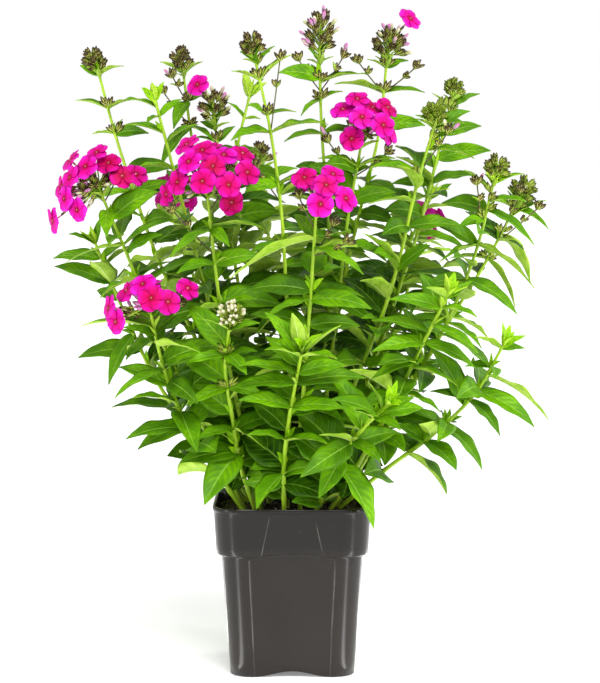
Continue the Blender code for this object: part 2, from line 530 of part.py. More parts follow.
class Crowd:
    """The solids placed so far, which a new one has to stay clear of"""

    def __init__(self):
        self.entries = []

    def add(self, solid, owner, root=None):
        self.entries.append((solid.points.min(axis=0), solid.points.max(axis=0), solid.tree(), owner, root))

    def hit_by(self, solid, owner, root):
        """Whether a solid touches another node, or a leaf of its own stem that starts elsewhere"""
        low, high = solid.points.min(axis=0), solid.points.max(axis=0)
        tree = None
        for other_low, other_high, other_tree, other_owner, other_root in self.entries:
            if np.any(low > other_high) or np.any(high < other_low):
                continue
            if other_owner == owner and (other_root is None or abs(other_root[2] - root[2]) < NEXT_PAIR):
                continue
            tree = tree or solid.tree()
            if tree.overlap(other_tree):
                return True
        return False


def stem_radius(curve, length):
    share = np.clip(length / curve.length, 0, 1)
    return STEM_FOOT_RADIUS + (STEM_TIP_RADIUS - STEM_FOOT_RADIUS) * share


def stem_path(name):
    """The stem's foot in the soil, then a point every few centimetres up to its tip"""
    curve = Curve([np.array(point) * CM for point in ROUTES[name]])
    foot = curve.points[0] - curve.direction(0.0) * STEM_FOOT_DEPTH
    steps = max(round(curve.length / STEM_RING_STEP), 4)
    lengths = [curve.length * k / steps for k in range(steps + 1)]
    path = [foot] + [curve.at(length) for length in lengths]
    return path, [STEM_FOOT_RADIUS] + [stem_radius(curve, length) for length in lengths]


def stem_place(name, height):
    """The point of a stem's axis at a height in centimetres, and the way the stem runs there"""
    path, _ = stem_path(name)
    path = np.array(path)
    index = int(np.clip(np.searchsorted(path[:, 2], height * CM), 1, len(path) - 1))
    low, high = path[index - 1], path[index]
    share = np.clip((height * CM - low[2]) / (high[2] - low[2]), 0.0, STEM_LAST_SHARE)
    return low + (high - low) * share, unit(high - low)


def stem_tube(name, grow=0.0):
    """The bare stem from its foot in the soil to its tip"""
    path, radii = stem_path(name)
    return tube(path, [radius + grow for radius in radii], STEM_SIDES)


def core_points(name, top):
    """Where a head or bloom starts, just clear of its stem, and the way it points"""
    path, _ = stem_path(name)
    way = unit(path[-1] - path[-2])
    return path[-1] + way * GAP, way, unit(top - path[-1])


def head_solids(name):
    """A rounded core with closed buds standing out of it all the way round"""
    x, y, z, width, count = HEADS[name]
    top = np.array((x, y, z)) * CM
    start, way, axis = core_points(name, top)
    height = np.linalg.norm(top - start)
    half = 0.5 * width * CM
    path = [start, start + way * CORE_FOOT] + [start + axis * height * share for share, _ in HEAD_CORE]
    radii = [STEM_TIP_RADIUS, STEM_TIP_RADIUS] + [half * share for _, share in HEAD_CORE]
    solids = [tube(path, radii, STEM_SIDES)]
    for root, tip in head_buds(start, axis, height, half, count, "head " + name):
        solids.append(spindle(root, tip, BUD_RADIUS, BUD_SIDES, BUD_FULLEST))
    return solids


def head_buds(start, axis, height, half, count, seed):
    """Root and tip of each bud, the tips spread evenly over a rounded head"""
    draw = random.Random(seed)
    side = sideways(axis)
    centre = start + axis * 0.5 * height
    buds = []
    for k in range(count):
        share = (k + 0.5) / count
        level = math.cos(HEAD_LOWEST) + (math.cos(HEAD_HIGHEST) - math.cos(HEAD_LOWEST)) * share
        out = turned(side, axis, k * GOLDEN_TURN + draw.uniform(-BUD_TURN, BUD_TURN))
        out = out * math.sqrt(1 - level ** 2)
        tip = centre + (out * half + axis * 0.5 * height * level) * draw.uniform(*BUD_REACH)
        heart = start + axis * height * np.interp(share, (0, 1), BUD_HEARTS)
        buds.append((heart + BUD_SUNK * (tip - heart), tip))
    return buds


def bloom_flowers(name):
    """The open flowers of a bloom, each on a tube from the bloom's core, their faces clear of each other"""
    middles = [np.array(middle) * CM for middle in FLOWERS[name]]
    start, way, _ = core_points(name, middles[0])
    heart = start + way * CORE_LENGTH * CORE_HEART
    flowers, faces = [], []
    for k, middle in enumerate(middles):
        best = None
        for step in FLOWER_STEPS:
            shifted = middle + step * unit(middle - heart)
            flower = Flower(shifted, heart, f"flower {name} {k}")
            face = flower.disc().tree()
            crossed = sum(len(face.overlap(other)) > 0 for other in faces)
            if best is None or crossed < best[0]:
                best = (crossed, flower, face)
            if crossed == 0:
                break
        flowers.append(best[1])
        faces.append(best[2])
    return flowers


def bloom_solids(name):
    flowers = bloom_flowers(name)
    start, way, _ = core_points(name, flowers[0].middle)
    heart = flowers[0].start
    core = tube([start, heart, start + way * CORE_LENGTH],
                [STEM_TIP_RADIUS, CORE_RADIUS, CORE_RADIUS * CORE_TIP_SHARE], STEM_SIDES)
    return [core] + [flower.solid() for flower in flowers]


def single_flower(name):
    """A flower whose tube reaches in among the buds of its head as far as it stays clear of them"""
    middle = np.array(SINGLE_FLOWERS[name]) * CM
    x, y, z, _, _ = HEADS[name]
    start, _, _ = core_points(name, np.array((x, y, z)) * CM)
    heart = 0.5 * (start + np.array((x, y, z)) * CM)
    buds = [solid.tree() for solid in head_solids(name)]
    for share in FOOT_SHARES:
        foot = middle + share * (heart - middle)
        sleeve = tube([foot, middle], [TUBE_RADIUS * THROAT_SHARE + GAP] * 2, 6).tree()
        if not any(sleeve.overlap(bud) for bud in buds):
            break
    return Flower(middle, foot, f"flower {name}")


def twig_solids(name, height, tip):
    """A thin stalk with two closed buds at its end"""
    root, _ = stem_place(name, height)
    ahead = unit(tip - root)
    solids = [tube([root, tip], [TWIG_RADIUS, TWIG_RADIUS], 3)]
    side = sideways(ahead)
    for turn in (TWIG_BUD_TURN, TWIG_BUD_TURN + math.pi):
        bud_way = unit(ahead + TWIG_BUD_LEAN * turned(side, ahead, turn))
        end = tip + bud_way * BUD_LENGTH * TWIG_BUD_SHARE
        solids.append(spindle(tip - ahead * TWIG_BUD_SUNK, end, BUD_RADIUS, BUD_SIDES))
    return solids


def leaf_tries(root, tip, stem_way):
    """The leaf's own place first, then small turns, lifts and shorter blades"""
    for shrink in TRY_SIZES:
        for lift in TRY_LIFTS:
            for turn in TRY_TURNS:
                span = turned((tip - root) * shrink, stem_way, math.radians(turn))
                yield root + span + UP * lift


def rule_leaves(name):
    """Opposite pairs up a stem, each pair a quarter turn from the last"""
    lowest, highest, pairs, reach = PAIRS[name]
    draw = random.Random("pairs " + name)
    phase = draw.uniform(0, math.pi)
    rows = []
    for k in range(pairs):
        share = k / max(pairs - 1, 1)
        height = lowest + (highest - lowest) * share
        root, way = stem_place(name, height)
        size = reach * CM * (1 - PAIR_SHRINK * share ** 2) * draw.uniform(*PAIR_SIZES)
        for half_turn in (0, math.pi):
            turn = phase + k * math.pi / 2 + half_turn + draw.uniform(-PAIR_TURN, PAIR_TURN)
            out = turned(sideways(way), way, turn)
            rise = draw.uniform(*PAIR_RISE) + PAIR_LIFT * share
            rows.append((height, *((root + size * unit(out + way * rise)) / CM)))
    return rows


def place_leaf(crowd, name, row, index):
    """The first try that is clear of everything else, or none"""
    root, way = stem_place(name, row[0])
    tip = np.array(row[1:]) * CM
    for attempt in leaf_tries(root, tip, way):
        leaf = Leaf(root, attempt, way, f"leaf {name} {index}")
        solid = leaf.solid(LEAF_CLEARANCE)
        if not crowd.hit_by(solid, "stem_" + name, root):
            crowd.add(solid, "stem_" + name, root)
            return leaf
    return None


def pot_guard():
    """The space of the pot and the soil, which leaves stay out of"""
    step = POT_HEIGHT - COLLAR_HEIGHT
    levels = ((BODY_FOOT_HALF, 0.0), (BODY_TOP_HALF, step - GUARD), (COLLAR_FOOT_HALF, step),
              (LIP_HALF, POT_HEIGHT))
    return loft([square_ring(half + GUARD, height + GUARD) for half, height in levels])


def plant_layout():
    """Every piece of the plant in its place: stems, heads and blooms first, then twigs and leaves"""
    crowd = Crowd()
    crowd.add(pot_guard(), "pot")
    for name in ROUTES:
        crowd.add(stem_tube(name, LEAF_CLEARANCE), "stem_" + name)
    pieces = {"heads": {}, "blooms": {}, "twigs": {}, "leaves": {}}
    for name in FLOWERS:
        pieces["blooms"]["bloom_" + name] = bloom_solids(name)
    for name in SINGLE_FLOWERS:
        pieces["blooms"]["flower_" + name] = [single_flower(name).solid()]
    for name in HEADS:
        pieces["heads"]["buds_" + name] = head_solids(name)
    for group in ("heads", "blooms"):
        for owner, solids in pieces[group].items():
            for solid in solids:
                crowd.add(solid, owner)
    for name in ROUTES:
        pieces["twigs"][name] = place_twigs(crowd, name)
    for name in ROUTES:
        rows = LEAVES.get(name, [])
        pieces["leaves"][name] = [place_leaf(crowd, name, row, k) for k, row in enumerate(rows)]
    for name in PAIRS:
        rows = rule_leaves(name)
        pieces["leaves"][name] += [place_leaf(crowd, name, row, 100 + k) for k, row in enumerate(rows)]
    return pieces


def place_twigs(crowd, name):
    kept = []
    for height, x, y, z in TWIGS.get(name, []):
        root_height = np.array((0.0, 0.0, height * CM))
        for shift in TWIG_SHIFTS:
            tip = np.array((x + shift[0], y + shift[1], z)) * CM
            solids = twig_solids(name, height, tip)
            if not any(crowd.hit_by(solid, "stem_" + name, root_height) for solid in solids):
                for solid in solids:
                    crowd.add(solid, "stem_" + name, root_height)
                kept.append(solids)
                break
    return kept


def clear_scene():
    for existing in list(bpy.data.objects):
        bpy.data.objects.remove(existing, do_unlink=True)


def material(name, colour, roughness):
    made = bpy.data.materials.new(name)
    made.use_nodes = True
    shader = made.node_tree.nodes["Principled BSDF"]
    shader.inputs["Base Color"].default_value = (*colour, 1.0)
    shader.inputs["Roughness"].default_value = roughness
    made.diffuse_color = (*colour, 1.0)
    return made


def mesh_object(name, solid, surface):
    """An object from a closed solid, its faces pointing out"""
    shape = bmesh.new()
    corners = [shape.verts.new(point) for point in solid.points]
    for face in solid.faces:
        shape.faces.new([corners[i] for i in face])
    bmesh.ops.recalc_face_normals(shape, faces=shape.faces)
    mesh = bpy.data.meshes.new(name)
    shape.to_mesh(mesh)
    shape.free()
    mesh.materials.append(surface)
    made = bpy.data.objects.new(name, mesh)
    bpy.context.scene.collection.objects.link(made)
    return made


def apply_modifiers(target):
    graph = bpy.context.evaluated_depsgraph_get()
    mesh = bpy.data.meshes.new_from_object(target.evaluated_get(graph))
    target.modifiers.clear()
    target.data = mesh


def combine(target, solids, operation="UNION", solver="EXACT"):
    """Joins solids to an object, or cuts them out of it, in one Boolean"""
    group = bpy.data.collections.new(target.name + " pieces")
    bpy.context.scene.collection.children.link(group)
    for index, solid in enumerate(solids):
        piece = mesh_object(f"{target.name} piece {index}", solid, target.data.materials[0])
        bpy.context.scene.collection.objects.unlink(piece)
        group.objects.link(piece)
    modifier = target.modifiers.new("Combine", "BOOLEAN")
    modifier.operand_type = "COLLECTION"
    modifier.collection = group
    modifier.operation = operation
    modifier.solver = solver
    apply_modifiers(target)
    for piece in list(group.objects):
        bpy.data.objects.remove(piece, do_unlink=True)
    bpy.data.collections.remove(group)


def fused(name, solids, surface):
    target = mesh_object(name, solids[0], surface)
    if len(solids) > 1:
        combine(target, solids[1:])
    shade(target)
    return target


def shade(target, angle=35):
    target.data.shade_smooth()
    target.data.set_sharp_from_angle(angle=math.radians(angle))


def round_ring(radius, height):
    """A circle whose points match those of a rounded square"""
    ring = []
    for x, y, _ in square_ring(1.0, 0.0):
        angle = math.atan2(y, x)
        ring.append((radius * math.cos(angle), radius * math.sin(angle), height))
    return ring


def drain_cutter(x, y):
    return tube([(x, y, z) for z in DRAIN_SPAN], [DRAIN_RADIUS] * 2, 6)


def inside_rings(inset, top):
    """The pot's inner surface from the floor up to a height, set in by a clearance"""
    collar_foot = POT_HEIGHT - COLLAR_HEIGHT
    collar_share = (top - collar_foot) / (POT_HEIGHT - LIP_DEPTH - collar_foot)
    top_half = COLLAR_FOOT_HALF + (COLLAR_TOP_HALF - COLLAR_FOOT_HALF) * collar_share
    top_panel = PANEL_HALF_FOOT + (PANEL_HALF_TOP - PANEL_HALF_FOOT) * collar_share
    return [
        square_ring(BODY_FOOT_HALF - WALL - inset, FLOOR_TOP + inset),
        square_ring(BODY_TOP_HALF - WALL - inset, collar_foot - WALL, 0.0, PANEL_HALF_FOOT),
        square_ring(COLLAR_FOOT_HALF - WALL - inset, collar_foot + COLLAR_INSIDE, 0.0, PANEL_HALF_FOOT,
                    PANEL_SINK),
        square_ring(top_half - WALL - inset, top, 0.0, top_panel, PANEL_SINK * (1 - collar_share)),
    ]


def build_pot():
    """One moulded piece: body, stepped collar with side panels, lip, floor, feet and drain holes"""
    collar_foot = POT_HEIGHT - COLLAR_HEIGHT
    collar_top = POT_HEIGHT - LIP_DEPTH
    foot_inner = BODY_FOOT_HALF - WALL
    outer = [
        square_ring(BODY_FOOT_HALF, 0.0, ARCH_HEIGHT),
        square_ring(BODY_TOP_HALF, collar_foot - COLLAR_STEP, COLLAR_ARCH, PANEL_HALF_FOOT),
        square_ring(COLLAR_FOOT_HALF, collar_foot, COLLAR_ARCH, PANEL_HALF_FOOT, PANEL_SINK),
        square_ring(COLLAR_TOP_HALF, collar_top, 0.0, PANEL_HALF_TOP),
        square_ring(LIP_HALF, collar_top + LIP_ROUND),
        square_ring(LIP_HALF, POT_HEIGHT),
        square_ring(LIP_HALF - WALL, POT_HEIGHT),
    ]
    underside = [
        round_ring(PAD_RADIUS, 0.0),
        round_ring(PAD_RADIUS, FLOOR_UNDERSIDE),
        square_ring(foot_inner - FOOT_BEVEL, FLOOR_UNDERSIDE),
        square_ring(foot_inner, 0.0, ARCH_HEIGHT),
    ]
    surface = material("pot_plastic", (0.055, 0.048, 0.043), 0.28)
    pot = mesh_object("pot", loft(underside + outer + inside_rings(0.0, collar_top)[::-1]), surface)
    cutters = [drain_cutter(x * DRAIN_OFFSET, y * DRAIN_OFFSET) for x in (-1, 1) for y in (-1, 1)]
    combine(pot, cutters, "DIFFERENCE")
    shade(pot, SMOOTH_BELOW)


def build_soil():
    """A fill that follows the pot's inside, with a plain hole for each stem"""
    crown = square_ring(CROWN_SHARE * COLLAR_FOOT_HALF, SOIL_TOP)
    rings = [crown] + inside_rings(SOIL_CLEARANCE, SOIL_TOP - SOIL_CROWN)[::-1]
    surface = material("soil", (0.045, 0.03, 0.022), 0.95)
    soil = mesh_object("soil", loft(rings), surface)
    cutters = []
    for name in ROUTES:
        path, _ = stem_path(name)
        way = unit(path[1] - path[0])
        radius = STEM_FOOT_RADIUS + HOLE_CLEARANCE
        cutters.append(tube([path[0] - way * GAP, path[1] + way * HOLE_REACH], [radius] * 2, STEM_SIDES))
    combine(soil, cutters, "DIFFERENCE")


def build_plant():
    foliage = material("foliage", (0.12, 0.3, 0.03), 0.45)
    bud_skin = material("bud_skin", (0.1, 0.06, 0.04), 0.55)
    petals = material("petals", (0.9, 0.02, 0.42), 0.5)
    pieces = plant_layout()
    for name in ROUTES:
        solids = [stem_tube(name)]
        solids += [solid for twig in pieces["twigs"][name] for solid in twig]
        solids += [leaf.solid() for leaf in pieces["leaves"][name] if leaf]
        fused("stem_" + name, solids, foliage)
    for owner, solids in pieces["heads"].items():
        fused(owner, solids, bud_skin)
    for owner, solids in pieces["blooms"].items():
        fused(owner, solids, petals)


def main():
    clear_scene()
    build_pot()
    build_soil()
    build_plant()


main()
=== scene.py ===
"""The looks of a garden phlox in flower, in a square plastic nursery pot.

The plant's tables are in centimetres, everything else in metres. The leaves, flowers and buds stand
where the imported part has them: the same tables, rules and seeds place them here, then each one is
made again as a finer shape. The front faces -Y and +Z is up.
"""

import math
import random

import bpy
import numpy as np
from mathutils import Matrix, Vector
from mathutils.bvhtree import BVHTree


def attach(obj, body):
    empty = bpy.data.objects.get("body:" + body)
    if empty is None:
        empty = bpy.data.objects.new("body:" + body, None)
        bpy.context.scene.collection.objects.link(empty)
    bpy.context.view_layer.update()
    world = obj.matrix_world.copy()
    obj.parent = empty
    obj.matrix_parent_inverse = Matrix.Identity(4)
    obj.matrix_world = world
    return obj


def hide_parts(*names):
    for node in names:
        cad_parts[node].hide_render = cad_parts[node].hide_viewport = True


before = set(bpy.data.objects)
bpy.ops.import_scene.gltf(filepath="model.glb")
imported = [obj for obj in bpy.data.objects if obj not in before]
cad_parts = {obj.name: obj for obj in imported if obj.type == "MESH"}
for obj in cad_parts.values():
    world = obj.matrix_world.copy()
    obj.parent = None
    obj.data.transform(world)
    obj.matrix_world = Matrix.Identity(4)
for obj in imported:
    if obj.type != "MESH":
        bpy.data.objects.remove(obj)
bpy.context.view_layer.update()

CM = 0.01
GAP = 0.0003
GOLDEN_TURN = math.radians(137.5)
UP = np.array((0.0, 0.0, 1.0))

# Pot
POT_HEIGHT = 0.199
LIP_HALF = 0.0925
LIP_DEPTH = 0.005
COLLAR_TOP_HALF = 0.0912
COLLAR_FOOT_HALF = 0.0882
COLLAR_HEIGHT = 0.057
BODY_TOP_HALF = 0.0826
BODY_FOOT_HALF = 0.0725
CORNER_SHARE = 0.36
WALL = 0.0028
ARCH_HEIGHT = 0.0065
FLOOR_UNDERSIDE = 0.0075
FLOOR_TOP = 0.0105
PANEL_HALF_TOP = 0.024
PANEL_HALF_FOOT = 0.036
PANEL_SINK = 0.0042
COLLAR_ARCH = 0.004
GUARD = 0.001
CORNER_STEPS = 3

# Soil and stems
SOIL_TOP = 0.188
SOIL_CROWN = 0.003
STEM_FOOT_DEPTH = 0.025
STEM_FOOT_RADIUS = 0.0029
STEM_TIP_RADIUS = 0.0016
STEM_SIDES = 4
STEM_RING_STEP = 0.085
STEM_LAST_SHARE = 0.97
SOIL_CLEARANCE = 0.0008

# Leaves
LEAF_WIDTH_SHARE = 0.33
LEAF_WIDTH_MAX = 0.0265
LEAF_WIDTHS = (0.9, 1.12)
LOW_LEAVES = 0.275
LOW_BROAD = 1.55
LEAF_ROOT_POWER = 0.6
LEAF_TIP_POWER = 1.05
LEAF_EDGE = 0.0009
LEAF_FOLD = (0.14, 0.28)
LEAF_FOLD_POWER = 1.4
LEAF_TWIST = 0.25
LEAF_RISE = 0.5
LEAF_LEAN = (0.45, 0.95)
LEVEL_CHANCE = (0.2, 0.75)
LEVEL_HEIGHTS = (0.36, 0.68)
LEVEL_LEAN = (-0.12, 0.1)
LEVEL_FOLD = (0.28, 0.45)
LEAF_THICKNESS = 0.001
LEAF_ARCH = 0.16
LEAF_ROOT_BACK = 0.0003
LEAF_CLEARANCE = 0.0005
NEXT_PAIR = 0.015
TRY_SIZES = (1.0, 0.88, 0.75, 0.62)
TRY_LIFTS = (0.0, 0.008, -0.008, 0.016, -0.016)
TRY_TURNS = (0, 10, -10, 20, -20, 32, -32)
PAIR_SIZES = (0.9, 1.1)
PAIR_SHRINK = 0.35
PAIR_TURN = 0.2
PAIR_RISE = (-0.15, 0.25)
PAIR_LIFT = 0.35
BACK_STARTS = 0.1
TURN_ASIDE = 0.35
TURN_BACK = 0.05
TURN_FRONT = -0.12
LONG_LEAF = 0.084
SMALL_LEAF = 0.04
LONG_STATIONS = (0.2, 0.5, 0.8)
SHORT_STATIONS = (0.3, 0.68)
SMALL_STATIONS = (0.4,)

# Flowers and buds
FLOWER_RADIUS = 0.0152
FLOWER_SIZES = (0.95, 1.04)
FACE_ALONG = 0.6
FACE_OUTWARD = 0.65
FACE_UP = 0.2
LOBE_LIFT = 0.0016
NOTCH_DROP = 0.0004
NOTCH_SHARE = 0.72
LOBE_SHARE = 0.3
PETAL_THICKNESS = 0.0009
FLOWER_STEPS = (0.0, 0.002, -0.002, 0.004, -0.004, 0.006, -0.006)
TUBE_RADIUS = 0.0012
THROAT_DEPTH = 0.0026
THROAT_SHARE = 1.5
TUBE_FOOT_SHARE = 0.5
FOOT_SHARES = (0.9, 0.8, 0.7, 0.6, 0.5, 0.4, 0.3)
BUD_LENGTH = 0.0145
BUD_RADIUS = 0.003
BUD_SIDES = 3
BUD_FULLEST = 0.66
BUD_SUNK = 0.2
BUD_TURN = 0.15
BUD_REACH = (1.0, 1.12)
BUD_HEARTS = (0.15, 0.45)
HEAD_CORE = ((0.3, 0.42), (0.6, 0.4), (0.84, 0.12))
CORE_FOOT = 0.002
HEAD_LOWEST = math.radians(118)
HEAD_HIGHEST = math.radians(10)
TWIG_RADIUS = 0.0012
TWIG_BUD_TURN = 0.5
TWIG_BUD_LEAN = 0.4
TWIG_BUD_SUNK = 0.003
TWIG_BUD_SHARE = 0.8
TWIG_SHIFTS = ((0, 0), (0, -0.8), (0, 0.8), (0.8, 0), (-0.8, 0), (0, -1.6), (0, 1.6))
CORE_LENGTH = 0.011
CORE_RADIUS = 0.0046
CORE_HEART = 0.6
CORE_TIP_SHARE = 0.4

# Each stem's route, from the soil to its tip
ROUTES = {
    "a": [(-3.6, 1, 18.8), (-6.6, 1.6, 28), (-11, 2.3, 37.5), (-16, 3.4, 48), (-18.2, 3.9, 54),
          (-21.2, 5, 63), (-23.2, 6, 70.3)],
    "b": [(-5.6, -1, 18.8), (-10.9, -1.6, 29.5), (-15, -2.5, 38), (-18, -3.4, 46), (-20, -4, 51),
          (-22, -5, 56)],
    "c": [(-5.6, -4, 18.8), (-10.8, -5.3, 27), (-14, -7.7, 33.5), (-15.2, -10.2, 39.5),
          (-15.9, -12, 42.8)],
    "d": [(-5.4, 3, 18.8), (-9.5, 3.5, 24), (-14, 4.2, 29.5), (-18.3, 5.5, 37), (-22, 7, 45.5),
          (-24, 8, 50)],
    "e": [(-2.6, 4.6, 18.8), (-7, 6.6, 40.5), (-8.4, 8, 49.5), (-11.3, 9.3, 57.5), (-12.9, 10.9, 67),
          (-13.4, 12, 70.7)],
    "f": [(-4.2, -0.2, 18.8), (-7.4, 0.2, 32), (-10, 0.8, 43.5), (-12, 1.2, 51), (-14, 1.6, 58.5),
          (-15, 1.8, 64), (-16.2, 2, 67)],
    "c1": [(-3.6, -3, 18.8), (-7.2, -4.9, 35.5), (-8.5, -6.5, 45), (-9.3, -7.8, 52.5), (-9.6, -8.4, 56)],
    "g": [(-0.6, -1, 18.8), (-0.3, -1.4, 34), (-0.9, -1.9, 48), (-1.4, -2.2, 55), (-2.5, -2.5, 63),
          (-3.7, -2.8, 70), (-4.3, -3, 71.5)],
    "g2": [(-2.8, 2.2, 18.8), (-5.6, 4.4, 39.5), (-7.8, 6.5, 52.5), (-9.1, 8.2, 62.3), (-9.4, 9, 64.1)],
    "s": [(-1.3, 5.4, 18.8), (-3.4, 8.2, 38), (-6.1, 10.4, 51.5), (-7, 12.6, 62), (-6.4, 13.2, 65),
          (-5.3, 14, 68)],
    "h": [(1, 2, 18.8), (3.6, 2.5, 37), (4.6, 2.8, 47.5), (3.6, 3.3, 61), (3.2, 3.8, 71.7)],
    "i": [(2.3, 4, 18.8), (4.5, 5, 34.5), (7, 6.3, 49.5), (9.9, 7.3, 60), (10.9, 8.2, 68), (11.4, 9, 71.7)],
    "c2": [(2.4, 0.4, 18.8), (5, 0.4, 40), (6.8, 0.2, 55), (7.6, 0, 60), (8.1, 0, 61.8)],
    "c3": [(0.9, -4, 18.8), (0.9, -4.8, 27), (1.6, -6.9, 37), (2.3, -9.4, 47.5), (2.7, -11.4, 53.8)],
    "j1": [(3.2, -1.2, 18.8), (6.4, -1.2, 31), (10.3, -1.4, 41), (12.2, -1.5, 47), (14.6, -1.8, 57.3),
           (16.6, -2, 64)],
    "j2": [(3.9, 3, 18.8), (9.9, 5, 36), (14.8, 7.5, 50), (17.8, 9.5, 61), (19.5, 11, 67.5)],
    "j3": [(3.5, 5.4, 18.8), (8, 8.6, 31), (11.6, 11.1, 40), (15.2, 15.5, 52), (17.4, 17, 55.5)],
    "k1": [(5, 0.2, 18.8), (12.7, -0.5, 31), (17.5, -1.2, 39.5), (21.7, -2.1, 50), (23.4, -3, 57.5)],
    "k2": [(5.4, 2.8, 18.8), (15.4, 4.9, 35), (22.4, 6.9, 46), (26, 8, 52), (27.3, 9, 54.6)],
    "n": [(4.4, -2.4, 18.8), (9.8, -3.6, 28), (13.6, -5.9, 35.5), (16, -8, 41.5), (17.7, -9, 44.5)],
    "o": [(2.6, -5.8, 18.8), (5.5, -8.9, 25.8), (7.7, -11.6, 29.2), (10.7, -15, 32.7)],
    "p": [(5.5, -1.1, 18.8), (8.4, -1.4, 21.7), (13.1, -2, 25), (18, -2.8, 29.2), (23, -3.9, 34.8),
          (24.5, -5, 38.6)],
    "m": [(-0.9, -6.6, 18.8), (-0.9, -8.8, 26), (0.1, -11.8, 33), (1.2, -15, 39)],
    "l": [(-4.2, -4.8, 18.8), (-6.3, -5.7, 25.7), (-7, -7.9, 31.5), (-7.7, -11.1, 38), (-7, -13.6, 41.1)],
    "r1": [(-3.9, 5.2, 18.8), (-7.5, 9, 30), (-12, 15, 44), (-15, 19, 54)],
    "r2": [(-0.1, 6.6, 18.8), (-1, 11, 34), (-3, 17, 50), (-4, 20, 59)],
    "r3": [(1.5, 6.3, 18.8), (3, 11, 31), (5, 18, 46), (6, 22, 55)],
    "r4": [(5.4, 4.6, 18.8), (10, 9.5, 32), (14.5, 16, 44), (16.5, 19.5, 50)],
    "r5": [(-5.4, 5, 18.8), (-9, 10, 25), (-13, 17, 32), (-14.5, 20, 36)],
    "r6": [(3.5, 6.9, 18.8), (7, 12, 24.5), (11, 18.5, 31), (12.5, 21, 35)],
}

